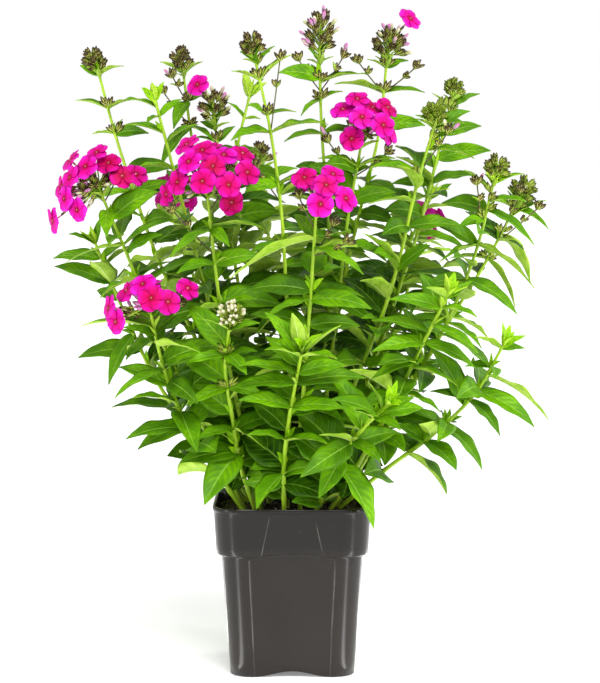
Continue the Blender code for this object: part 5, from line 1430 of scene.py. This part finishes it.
def pot_rings():
    """From the floor's underside to the feet, up the outside, over the lip and down to the floor's top"""
    foot = POT_HEIGHT - COLLAR_HEIGHT
    top = POT_HEIGHT - LIP_DEPTH
    wide = PANEL_HALF_FOOT
    stops = [
        stop(3, BODY_FOOT_HALF - WALL, FLOOR_UNDERSIDE),
        stop(1, BODY_FOOT_HALF - WALL, 0.0005, ARCH_HEIGHT),
        stop(1, BODY_FOOT_HALF - 0.5 * WALL, 0.0, ARCH_HEIGHT),
        stop(9, BODY_FOOT_HALF, 0.0006, ARCH_HEIGHT, recess=FACE_RECESS),
        stop(3, BODY_TOP_HALF - 0.0006, foot - 0.0045, COLLAR_ARCH, wide, recess=FACE_RECESS),
        stop(2, BODY_TOP_HALF, foot - 0.0006, COLLAR_ARCH, wide),
        stop(2, BODY_TOP_HALF + 0.002, foot + 0.0002, COLLAR_ARCH, wide, 0.2 * PANEL_SINK),
        stop(2, COLLAR_FOOT_HALF - 0.0016, foot + 0.0004, COLLAR_ARCH, wide, 0.8 * PANEL_SINK),
        stop(7, COLLAR_FOOT_HALF, foot + 0.0022, COLLAR_ARCH, wide, PANEL_SINK),
        stop(2, COLLAR_TOP_HALF - 0.0001, top - 0.0008, sink=0.12 * PANEL_SINK),
        stop(2, COLLAR_TOP_HALF + 0.0001, top - 0.0002),
        stop(2, LIP_HALF - 0.0003, top + 0.0003),
        stop(3, LIP_HALF, top + 0.001),
        stop(2, LIP_HALF, POT_HEIGHT - 0.0008),
        stop(2, LIP_HALF - 0.0008, POT_HEIGHT),
        stop(2, LIP_HALF - WALL + 0.0006, POT_HEIGHT),
        stop(2, LIP_HALF - WALL, POT_HEIGHT - 0.0006),
        stop(4, COLLAR_TOP_HALF - WALL, top),
        stop(3, COLLAR_FOOT_HALF - WALL, foot + 0.004, 0.0, wide, PANEL_SINK),
        stop(4, BODY_TOP_HALF - WALL, foot - WALL, 0.0, wide),
        stop(1, BODY_FOOT_HALF - WALL, FLOOR_TOP),
    ]
    rings = []
    for (steps, here), (_, after) in zip(stops, stops[1:]):
        rings += [smooth_ring(*(here + (after - here) * k / steps)) for k in range(steps)]
    return np.array(rings + [smooth_ring(*stops[-1][1])])


def painted_light_places(points):
    """Tone 1 along the outer rim and along the beads, where pale highlight lines are painted. The place along
    runs up the collar, where it sets the collar's painted shade"""
    x, y = np.abs(points[:, 0]), np.abs(points[:, 1])
    high, low = np.maximum(x, y), np.minimum(x, y)
    height = points[:, 2]
    foot = POT_HEIGHT - COLLAR_HEIGHT
    body_highlight, panel_highlight = HIGHLIGHT_WIDTHS
    half = np.interp(height, (0.0, foot), (BODY_FOOT_HALF, BODY_TOP_HALF))
    body = (height < foot - 0.004) & (high > half - 0.004)
    edge = half * (1 - CORNER_SHARE) - BEAD_INSET
    tone = np.exp(-((low - edge) / body_highlight) ** 2) * body
    share = np.clip((height - foot) / COLLAR_HEIGHT, 0, 1)
    panel = PANEL_HALF_FOOT + (PANEL_HALF_TOP - PANEL_HALF_FOOT) * share
    half = COLLAR_FOOT_HALF + (COLLAR_TOP_HALF - COLLAR_FOOT_HALF) * share
    collar = (share > 0.04) & (share < 0.86) & (high > half - 0.0055)
    tone = np.maximum(tone, np.exp(-((low - panel) / panel_highlight) ** 2) * collar)
    tone = np.maximum(tone, 0.8 * (height > POT_HEIGHT - 0.0005) * (high > LIP_HALF - 0.0015))
    return np.stack((share, np.zeros(len(points)), tone), axis=1)


def build_pot():
    """The moulded pot with softened edges; its floor is plain here, without the drain holes"""
    piece = Piece("pot_moulding", "pot", "pot")
    shell = lofted(pot_rings(), np.array((0.0, 0.0, FLOOR_UNDERSIDE)), np.array((0.0, 0.0, FLOOR_TOP)))
    piece.add(shell, painted_light_places(shell[0]))
    piece.finish()


def ripple(x, y):
    """A low uneven surface, the same every time"""
    return (0.5 * math.sin(95 * x + 2.0 * math.sin(60 * y)) + 0.3 * math.sin(160 * y + 40 * x)
            + 0.2 * math.sin(320 * x - 210 * y))


def soil_height(x, y, far):
    """The height of the soil at a place, far from its middle as a share of its half width"""
    return SOIL_TOP - SOIL_CROWN * far ** 3 + RIPPLE_HEIGHT * ripple(x, y)


def add_crumbs(piece, edge):
    """Crumbs and bark on the soil, of all sizes and ways"""
    draw = random.Random("crumbs")
    for _ in range(CRUMBS):
        x, y = draw.uniform(-1, 1) * edge * 0.97, draw.uniform(-1, 1) * edge * 0.97
        if abs(x) + abs(y) > 1.62 * edge:
            continue
        size = draw.uniform(0.0008, 0.0026) * (1.5 if draw.random() < 0.12 else 1.0)
        z = soil_height(x, y, max(abs(x), abs(y)) / edge) + 0.2 * size
        way = unit(np.array([draw.uniform(-1, 1) for _ in range(3)]))
        path = np.array((x, y, z)) + CRUMB_STATIONS[:, None] * way * size * draw.uniform(0.8, 1.9) * 0.7
        add_rod(piece, path, size * CRUMB_WIDTHS * draw.uniform(0.7, 1.1), 6, draw.random(), 0)


def build_soil():
    """Potting soil: an uneven top up to the pot's wall, with crumbs, bark and pale grains on it"""
    piece = Piece("potting_soil", "soil", "soil")
    foot = POT_HEIGHT - COLLAR_HEIGHT
    inset = WALL + SOIL_CLEARANCE
    edge = COLLAR_TOP_HALF - inset - 0.0008
    rings = [smooth_ring(BODY_FOOT_HALF - inset, FLOOR_TOP + SOIL_CLEARANCE),
             smooth_ring(BODY_TOP_HALF - inset, foot - WALL, 0.0, PANEL_HALF_FOOT),
             smooth_ring(COLLAR_FOOT_HALF - inset, foot + 0.004, 0.0, PANEL_HALF_FOOT, PANEL_SINK),
             smooth_ring(edge, SOIL_TOP - SOIL_CROWN)]
    for share in np.linspace(0.97, 0.04, SOIL_RINGS):
        ring = smooth_ring(edge * share, 0.0)
        ring[:, 2] = [soil_height(x, y, share) for x, y, _ in ring]
        rings.append(ring)
    ends = [np.array((0.0, 0.0, height)) for height in (FLOOR_TOP + SOIL_CLEARANCE, SOIL_TOP)]
    shell = lofted(np.array(rings), *ends)
    piece.add(shell, np.zeros((len(shell[0]), 3)))
    add_crumbs(piece, edge)
    piece.finish()


# The plant

# Stems start at this height in centimetres
SOIL_LEVEL = 18.8
TIP_SUNK = 0.004

# More pairs of leaves inside the plant, heights and steps in centimetres
FILL_LOWEST = 20.2
FILL_LOW = 23.2
FILL_SHORTER = 47.0
FILL_HIGHEST = 59.0
FILL_STEP = 2.0
FILL_SHARE = 0.93
FILL_LENGTH = 0.076
FILL_LENGTHS = (0.66, 1.0, 0.78)
FILL_REACH = 0.026
FILL_BROAD = 1.25
# painted shade: how much darker the tone of the leaves inside the plant is made
FILL_PAINTED_SHADE = 0.15
FILL_SEED = 300
SHORT_LEAF = 0.03

# Leaves that are rolled about their length
LIT_ABOVE = 0.52
LIT_ROLL = 0.3
PALE_ABOVE = 0.29
PALE_BEFORE = 0.0
PALE_CHANCE = 0.4
PALE_ROLL = 0.5

AXIL_CHANCE = 0.3
AXIL_LOWEST = 0.25
AXIL_REACH = 0.075
CHAIN_STEPS = ((0.25, 0.004), (0.55, -0.003), (0.3, 0.014), (0.75, 0.006))
RACHIS_SHARES = (0.3, 0.55, 0.7)
RACHIS_WIDTHS = (0.95, 1.0, 0.8, 0.6, 0.4)

# Young leaves at a bare tip and under a head: number, size, tone, detail
OPEN_TIP = (9, 0.031, 0.95, MIDDLE)
HEAD_TIP = (4, 0.017, 0.5, SMALL)

# Groups of buds: how many buds, and how far out they stand
TWIG_BUDS = (9, 0.0125)
TWIG_SIDE_BUDS = (4, 0.011)
TWIG_SIDE_SHARE = 0.62
TWIG_BOW = 0.003
AXIL_BUDS = (4, (0.014, 0.019))
CHAIN_BUDS = (8, 0.016)
HEAD_GROUP_BUDS = 7
HEAD_COLLAR_LEAVES = 5
HEAD_BRACTS_BELOW = 0.75
BLOOM_BUDS = (3, 0.0125)
BLOOM_BRACTS = 4

# Per head: how dark its calyces are, and the share of buds that show furled petals
HEAD_LOOKS = {
    "a": (0.3, 0.0), "e": (0.6, 0.0), "g": (0.3, 0.0), "g2": (0.45, 0.2), "h": (0.5, 0.2), "i": (0.35, 0.18),
    "j1": (-0.7, 0.0), "j2": (-0.4, 0.0), "k1": (-0.2, 0.0), "k2": (-0.3, 0.0), "l": (-0.6, 0.45),
    "r2": (0.4, 0.05), "r3": (0.4, 0.05),
}


def leaf_tone_with_shade(leaf, height_share, draw):
    """Deep green low and fresh green high as leaves age, with painted shade: darker behind and lighter in
    front
    """
    # painted shade: the front term lowers the tone of leaves behind the middle and raises it for leaves in
    # front
    front = float(np.clip(-0.5 * (leaf.root[1] + leaf.tip[1]) / 0.12, -1.0, 1.0))
    return float(np.clip(0.1 + 0.36 * height_share + 0.13 * front + draw.uniform(-0.12, 0.18), 0.0, 0.58))


def fill_rows(name):
    """More pairs up the lower part of a stem, where the plant is dense, that don't lead outward"""
    draw = random.Random("fill " + name)
    top = min(SOIL_LEVEL + FILL_SHARE * (ROUTES[name][-1][2] - SOIL_LEVEL), FILL_HIGHEST)
    rows = []
    height = FILL_LOWEST + draw.uniform(0, 1.5)
    phase = draw.uniform(0, math.pi)
    while height < top:
        root, way = stem_place(name, height)
        size = FILL_LENGTH * FILL_LENGTHS[(height >= FILL_LOW) + (height > FILL_SHORTER)]
        for half_turn in (0, math.pi):
            out = turned(sideways(way), way, phase + half_turn + draw.uniform(-0.3, 0.3))
            tip = root + size * draw.uniform(0.8, 1.1) * unit(out + way * draw.uniform(-0.3, 0.35))
            if math.hypot(*tip[:2]) < math.hypot(*root[:2]) + FILL_REACH:
                rows.append((height, *(tip / CM)))
        phase += math.pi / 2
        height += FILL_STEP * draw.uniform(0.85, 1.15)
    return rows


def rolled(leaf, draw):
    """A sideways leaf rolled a little: high ones show their upper side, some low ones their pale side"""
    along = unit(leaf.tip - leaf.root)
    roll = 0.0
    if leaf.root[2] > LIT_ABOVE:
        roll = -LIT_ROLL
    elif leaf.root[1] < PALE_BEFORE and leaf.root[2] > PALE_ABOVE and draw.random() < PALE_CHANCE:
        roll = PALE_ROLL
    leaf.side = turned(leaf.side, along, roll * abs(along[0]) * math.copysign(1.0, leaf.side[1]))
    return leaf


def young_leaves(name, count, size):
    """Small leaves that stand up close together at a stem's growing tip"""
    path, _ = stem_path(name)
    way = unit(path[-1] - path[-2])
    draw = random.Random("young " + name)
    leaves = []
    for k in range(count):
        share = k / count
        root = path[-1] - way * TIP_SUNK * (1 - share)
        out = turned(sideways(way), way, k * GOLDEN_TURN)
        reach = size * (1 - 0.55 * share) * draw.uniform(0.85, 1.1)
        tip = root + reach * unit(out * (0.9 - 0.6 * share) + way)
        leaves.append(Leaf(root, tip, way, f"young {name} {k}"))
    return leaves


def axil_leaves(name, leaf, height, index):
    """A pair of tiny leaves in the corner between a leaf and its stem"""
    _, way = stem_place(name, height)
    draw = random.Random(f"axil {name} {index}")
    out = unit(leaf.elbow - leaf.root)
    leaves = []
    for k, spread in enumerate((-0.8, 0.8)):
        lean = turned(unit(out + 1.1 * way), way, spread)
        tip = leaf.root + draw.uniform(0.012, 0.022) * lean
        leaves.append(Leaf(leaf.root, tip, way, f"axil {name} {index} {k}"))
    return leaves


def stem_leaves(name, placed, crowd):
    """Height, leaf and detail of every leaf of a stem, those inside the plant last"""
    rows = LEAVES.get(name, []) + (rule_leaves(name) if name in PAIRS else [])
    leaves = [(row[0], leaf, LARGE) for row, leaf in zip(rows, placed) if leaf]
    for k, row in enumerate(fill_rows(name)):
        leaf = place_leaf(crowd, name, row, FILL_SEED + k)
        if leaf:
            leaf.half_width *= FILL_BROAD
            leaves.append((row[0], leaf, MIDDLE))
    return leaves


def build_leafy_stem(name, placed, crowd):
    """The stalk with all its leaves, tiny ones in axils and young ones at its tip"""
    leaves = stem_leaves(name, placed, crowd)
    piece = Piece("leafy_stem_" + name, "foliage", "stem_" + name)
    add_stalk(piece, name, sorted({leaf.root[2] for _, leaf, _ in leaves}))
    top = ROUTES[name][-1][2]
    for index, (height, leaf, detail) in enumerate(leaves):
        draw = random.Random(f"tone {name} {index}")
        share = (height - SOIL_LEVEL) / (top - SOIL_LEVEL)
        # painted shade: leaves that fill the inside of the plant get a darker tone
        tone = leaf_tone_with_shade(leaf, share, draw) - (FILL_PAINTED_SHADE if detail == MIDDLE else 0.0)
        detail = MIDDLE if leaf.length < SHORT_LEAF else detail
        add_leaf(piece, rolled(leaf, draw), max(tone, 0.0), detail)
        if draw.random() < AXIL_CHANCE and share > AXIL_LOWEST:
            for small in axil_leaves(name, leaf, height, index):
                add_leaf(piece, small, draw.uniform(0.6, 0.95), SMALL)
    count, size, tone, detail = HEAD_TIP if name in HEADS or name in FLOWERS else OPEN_TIP
    for small in young_leaves(name, count, size):
        add_leaf(piece, small, tone, detail)
    piece.finish()


def build_side_buds(name, twigs):
    """The twigs with a group of buds at the end, and a smaller one with two bracts on the way"""
    piece = Piece("side_buds_" + name, "buds", "stem_" + name)
    count, reach = TWIG_BUDS
    side_count, side_reach = TWIG_SIDE_BUDS
    for index, (root, tip) in enumerate(twigs):
        draw = random.Random(f"twig {name} {index}")
        ahead = unit(tip - root)
        add_link(piece, root, tip, -TWIG_BOW * UP, LINK_RADIUS, DARK_STALK)
        out = unit(ahead + 0.5 * UP)
        add_bud_group(piece, tip - ahead * 0.001, out, tip + out * reach, count, draw, 0.5, 0.05, width=1.8)
        middle = root + TWIG_SIDE_SHARE * (tip - root)
        side = turned(sideways(ahead), ahead, draw.uniform(0, 6))
        out = unit(side + ahead + 0.4 * UP)
        add_bud_group(piece, middle, out, middle + out * side_reach, side_count, draw, 0.5, width=1.4)
        for half_turn in (0.0, math.pi):
            bract = middle + 0.011 * unit(turned(side, ahead, half_turn) + 0.8 * ahead)
            add_bract(piece, middle, bract, ahead, f"bract {name} {index} {half_turn}", 0.35)
    piece.finish()


def add_axil_groups(piece, name, leaves, tone):
    """Small groups of buds where the uppermost leaves under a head join the stem"""
    lowest = ROUTES[name][-1][2] * CM - AXIL_REACH
    count, reach = AXIL_BUDS
    for index, leaf in enumerate(leaves):
        if leaf and leaf.root[2] >= lowest:
            draw = random.Random(f"axil group {name} {index}")
            out = unit(unit(leaf.elbow - leaf.root) + draw.uniform(0.7, 1.3) * UP)
            centre = leaf.root + out * draw.uniform(*reach)
            add_bud_group(piece, leaf.root + out * 0.001, out, centre, count, draw, tone, width=1.3)


def add_chain(piece, start, end, tone):
    """Loose groups of buds between two heads"""
    count, reach = CHAIN_BUDS
    for k, (share, shift) in enumerate(CHAIN_STEPS):
        draw = random.Random(f"chain {k}")
        centre = start + share * (end - start) + np.array((shift, -0.006, -shift))
        out = unit(np.array((0.5 * shift, 0.0, 0.02)))
        add_bud_group(piece, centre - reach * out, out, centre, count, draw, tone, width=1.5)


def build_bud_head(name, leaves):
    """A rachis with dense groups of buds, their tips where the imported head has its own"""
    start, way, axis, height, half = head_frame(name)
    count = HEADS[name][4]
    tone, petal_share = HEAD_LOOKS[name]
    petal_tone = 0.1 if name == "l" else 1.0
    piece = Piece("bud_head_" + name, "buds", "buds_" + name)
    path = [start - way * TIP_SUNK, start + way * 0.001]
    path += [start + axis * height * share for share in RACHIS_SHARES]
    add_rod(piece, path, STEM_TIP_RADIUS * np.array(RACHIS_WIDTHS), 8, 0.5, STALK)
    for index, (root, tip) in enumerate(head_buds(start, axis, height, half, count, "head " + name)):
        draw = random.Random(f"group {name} {index}")
        share = (index + 0.5) / count
        anchor = start + axis * height * (0.06 + 0.5 * share)
        knot = anchor + 0.3 * (tip - anchor)
        add_link(piece, anchor, knot, 0 * axis, LINK_RADIUS, STALK, 5)
        out = unit(tip - knot)
        add_bud_group(piece, knot, out, tip, HEAD_GROUP_BUDS, draw, tone, petal_share, petal_tone)
        if index % 2 == 0 and share < HEAD_BRACTS_BELOW:
            out = unit(unit(tip - anchor) + 0.25 * axis)
            bract = anchor + out * draw.uniform(0.6, 0.9) * (half + 0.004)
            add_bract(piece, anchor, bract, way, f"bract {name} {index}", 0.2)
    add_axil_groups(piece, name, leaves, tone)
    if name == "j1":
        add_chain(piece, np.array(HEADS[name][:3]) * CM, head_frame("j2")[0], tone)
    for k in range(HEAD_COLLAR_LEAVES):
        draw = random.Random(f"collar {name} {k}")
        out = turned(sideways(axis), axis, k * GOLDEN_TURN)
        foot = start - way * 0.002 * k
        reach = (0.75 * half + 0.006) * draw.uniform(0.9, 1.3)
        tip = foot + reach * unit(out + draw.uniform(0.3, 0.9) * axis)
        add_bract(piece, foot, tip, way, f"collar {name} {k}", 1.0 if name == "k1" else 0.4)
    piece.finish()


def add_bloom_buds(buds, flowers, heart, draw):
    """Groups of closed buds on stalks between the open flowers"""
    count, reach_in = BLOOM_BUDS
    for _ in range(2 * len(flowers)):
        first, second = draw.sample(range(len(flowers)), 2)
        mix = draw.uniform(0.2, 0.8)
        goal = flowers[first].middle * mix + flowers[second].middle * (1 - mix)
        out = goal - heart
        out = unit(out + 0.4 * np.linalg.norm(out) * np.array([draw.uniform(-1, 1) for _ in range(3)]))
        reach = max(draw.uniform(0.5, 0.8) * np.linalg.norm(goal - heart), 0.017)
        knot = heart + out * (reach - reach_in)
        add_link(buds, heart, knot, draw.uniform(-0.003, 0.001) * UP, PEDICEL_RADIUS * 1.3, STALK, 5)
        add_bud_group(buds, knot, out, heart + out * reach, count, draw, 0.35, 0.3)


def build_bloom(name):
    """A dome of open flowers over closed buds, with small bracts under it"""
    flowers = bloom_flowers(name)
    start, way, _ = core_points(name, flowers[0].middle)
    heart = flowers[0].start
    petals = Piece("bloom_" + name + "_petals", "petals", "bloom_" + name)
    buds = Piece("bloom_" + name + "_stalks", "buds", "bloom_" + name)
    path = [start - way * TIP_SUNK, start, heart, heart + way * TIP_SUNK]
    add_rod(buds, path, STEM_TIP_RADIUS * np.array((1.0, 1.0, 1.0, 0.6)), 8, 0.5, STALK)
    for k, flower in enumerate(flowers):
        add_flower(petals, buds, flower, heart, random.Random(f"bloom tone {name} {k}").random())
    draw = random.Random("bloom buds " + name)
    add_bloom_buds(buds, flowers, heart, draw)
    for k in range(BLOOM_BRACTS):
        out = turned(sideways(way), way, k * GOLDEN_TURN)
        foot = start - way * 0.003 * k
        tip = foot + 0.02 * draw.uniform(0.8, 1.3) * unit(out + 0.6 * way)
        add_bract(buds, foot, tip, way, f"bloom bract {name} {k}")
    petals.finish()
    buds.finish()


def build_single_flower(name):
    petals = Piece("flower_" + name + "_petals", "petals", "flower_" + name)
    buds = Piece("flower_" + name + "_stalk", "buds", "flower_" + name)
    add_flower(petals, buds, single_flower(name), head_heart(name), 0.7)
    petals.finish()
    buds.finish()


def build_plant():
    pieces, crowd = plant_layout()
    for name in ROUTES:
        build_leafy_stem(name, pieces["leaves"][name], crowd)
        if pieces["twigs"][name]:
            build_side_buds(name, pieces["twigs"][name])
    for name in HEADS:
        build_bud_head(name, pieces["leaves"][name])
    for name in FLOWERS:
        build_bloom(name)
    for name in SINGLE_FLOWERS:
        build_single_flower(name)


# Camera, floor and light

# The camera stands a little above the plant's middle. The picture is 683 pixels high, 1.18 mm each
CAMERA_PLACE = (0.009, -2.5, 0.58)
CAMERA_TARGET = (0.009, 0.0, 0.385)
VIEW_HEIGHT = 683 * 0.00118
SENSOR = 24.0

FLOOR_HALF = 40.0
FLOOR_DROP = 0.0005
FLOOR_GLOW = 0.24
GLOW_FRONT = 0.28
GLOW_BACK = 0.7
KEY_WAY = (-0.25, 0.9, -1.1)
KEY_POWER = 3.0
KEY_SOFTNESS = math.radians(40)

# Upright soft boxes: name, place, the point each one faces, width, height, power
SOFT_BOXES = (
    ("right strip light", (1.5, -0.9, 0.4), (0, 0, 0.2), 0.25, 1.6, 18),
    ("left strip light", (-1.5, -0.9, 0.4), (0, 0, 0.2), 0.25, 1.6, 14),
    ("back edge light", (1.9, 0.9, 0.7), (0, 0, 0.3), 0.5, 1.4, 14),
)

# Narrow lights that lie on the floor, one outward from each corner of the pot
STRIP_START = 0.098
STRIP_LENGTH = 0.62
STRIP_WIDTH = 0.04
STRIP_RISE = 0.002
STRIP_POWER = 0.5


def aim(made, way):
    """Turns a camera or a light to look along a way"""
    made.rotation_euler = Vector(way).to_track_quat("-Z", "Y").to_euler()


def lamp(name, kind, power, place=(0.0, 0.0, 0.0), **settings):
    light = bpy.data.lights.new(name, kind)
    light.energy = power
    for setting, value in settings.items():
        setattr(light, setting, value)
    return linked(name, light, place)


def build_camera():
    way = Vector(CAMERA_TARGET) - Vector(CAMERA_PLACE)
    lens = bpy.data.cameras.new("photo camera")
    lens.sensor_fit = "VERTICAL"
    lens.sensor_height = SENSOR
    lens.lens = SENSOR * way.length / VIEW_HEIGHT
    camera = linked("photo camera", lens, CAMERA_PLACE)
    aim(camera, way)
    bpy.context.scene.camera = camera


def build_floor():
    corners = [(FLOOR_HALF * x, FLOOR_HALF * y, 0.0) for x, y in ((-1, -1), (1, -1), (1, 1), (-1, 1))]
    mesh = bpy.data.meshes.new("studio_floor")
    mesh.from_pydata(corners, [], [(0, 1, 2, 3)])
    skin = Surface("floor paint", Specular_IOR_Level=0.1, Emission_Color=(1.0, 1.0, 1.0, 1.0),
                   Emission_Strength=FLOOR_GLOW)
    paint = skin.mix(skin.noise(40.0), (0.95, 0.95, 0.95), (0.97, 0.97, 0.97))
    mesh.materials.append(skin.finish(paint, 0.95))
    floor = linked("studio_floor", mesh, (0.0, 0.0, -FLOOR_DROP))


def build_world():
    """White behind the plant, and a softer glow all round that is brighter at the back than in front"""
    world = bpy.data.worlds.new("studio")
    world.use_nodes = True
    nodes, links = world.node_tree.nodes, world.node_tree.links
    background = nodes["Background"]
    background.inputs["Color"].default_value = (1.0, 1.0, 1.0, 1.0)
    split = nodes.new("ShaderNodeSeparateXYZ")
    links.new(nodes.new("ShaderNodeTexCoord").outputs["Generated"], split.inputs[0])
    glow = nodes.new("ShaderNodeMapRange")
    links.new(split.outputs["Y"], glow.inputs[0])
    for socket, value in zip(glow.inputs[1:5], (-1.0, 1.0, GLOW_FRONT, GLOW_BACK)):
        socket.default_value = value
    seen = nodes.new("ShaderNodeMix")
    links.new(nodes.new("ShaderNodeLightPath").outputs["Is Camera Ray"], seen.inputs[0])
    links.new(glow.outputs[0], seen.inputs[2])
    seen.inputs[3].default_value = 1.0
    links.new(seen.outputs[0], background.inputs["Strength"])
    bpy.context.scene.world = world


def build_light():
    aim(lamp("key light", "SUN", KEY_POWER, angle=KEY_SOFTNESS), KEY_WAY)
    for corner in range(4):
        bearing = math.radians(45 + 90 * corner)
        reach = STRIP_START + 0.5 * STRIP_LENGTH
        place = (reach * math.cos(bearing), reach * math.sin(bearing), STRIP_RISE)
        strip = lamp(f"floor strip {corner + 1}", "AREA", STRIP_POWER, place,
                     shape="ELLIPSE", size=STRIP_LENGTH, size_y=STRIP_WIDTH)
        strip.rotation_euler = (math.pi, 0.0, bearing)
        strip.visible_camera = False
    for name, place, target, width, height, power in SOFT_BOXES:
        box = lamp(name, "AREA", power, place, shape="RECTANGLE", size=width, size_y=height)
        aim(box, Vector(target) - Vector(place))


build_camera()
build_floor()
build_world()
build_light()
bpy.context.scene.view_settings.view_transform = "Standard"
SURFACES = slot_surfaces()
build_pot()
build_soil()
build_plant()
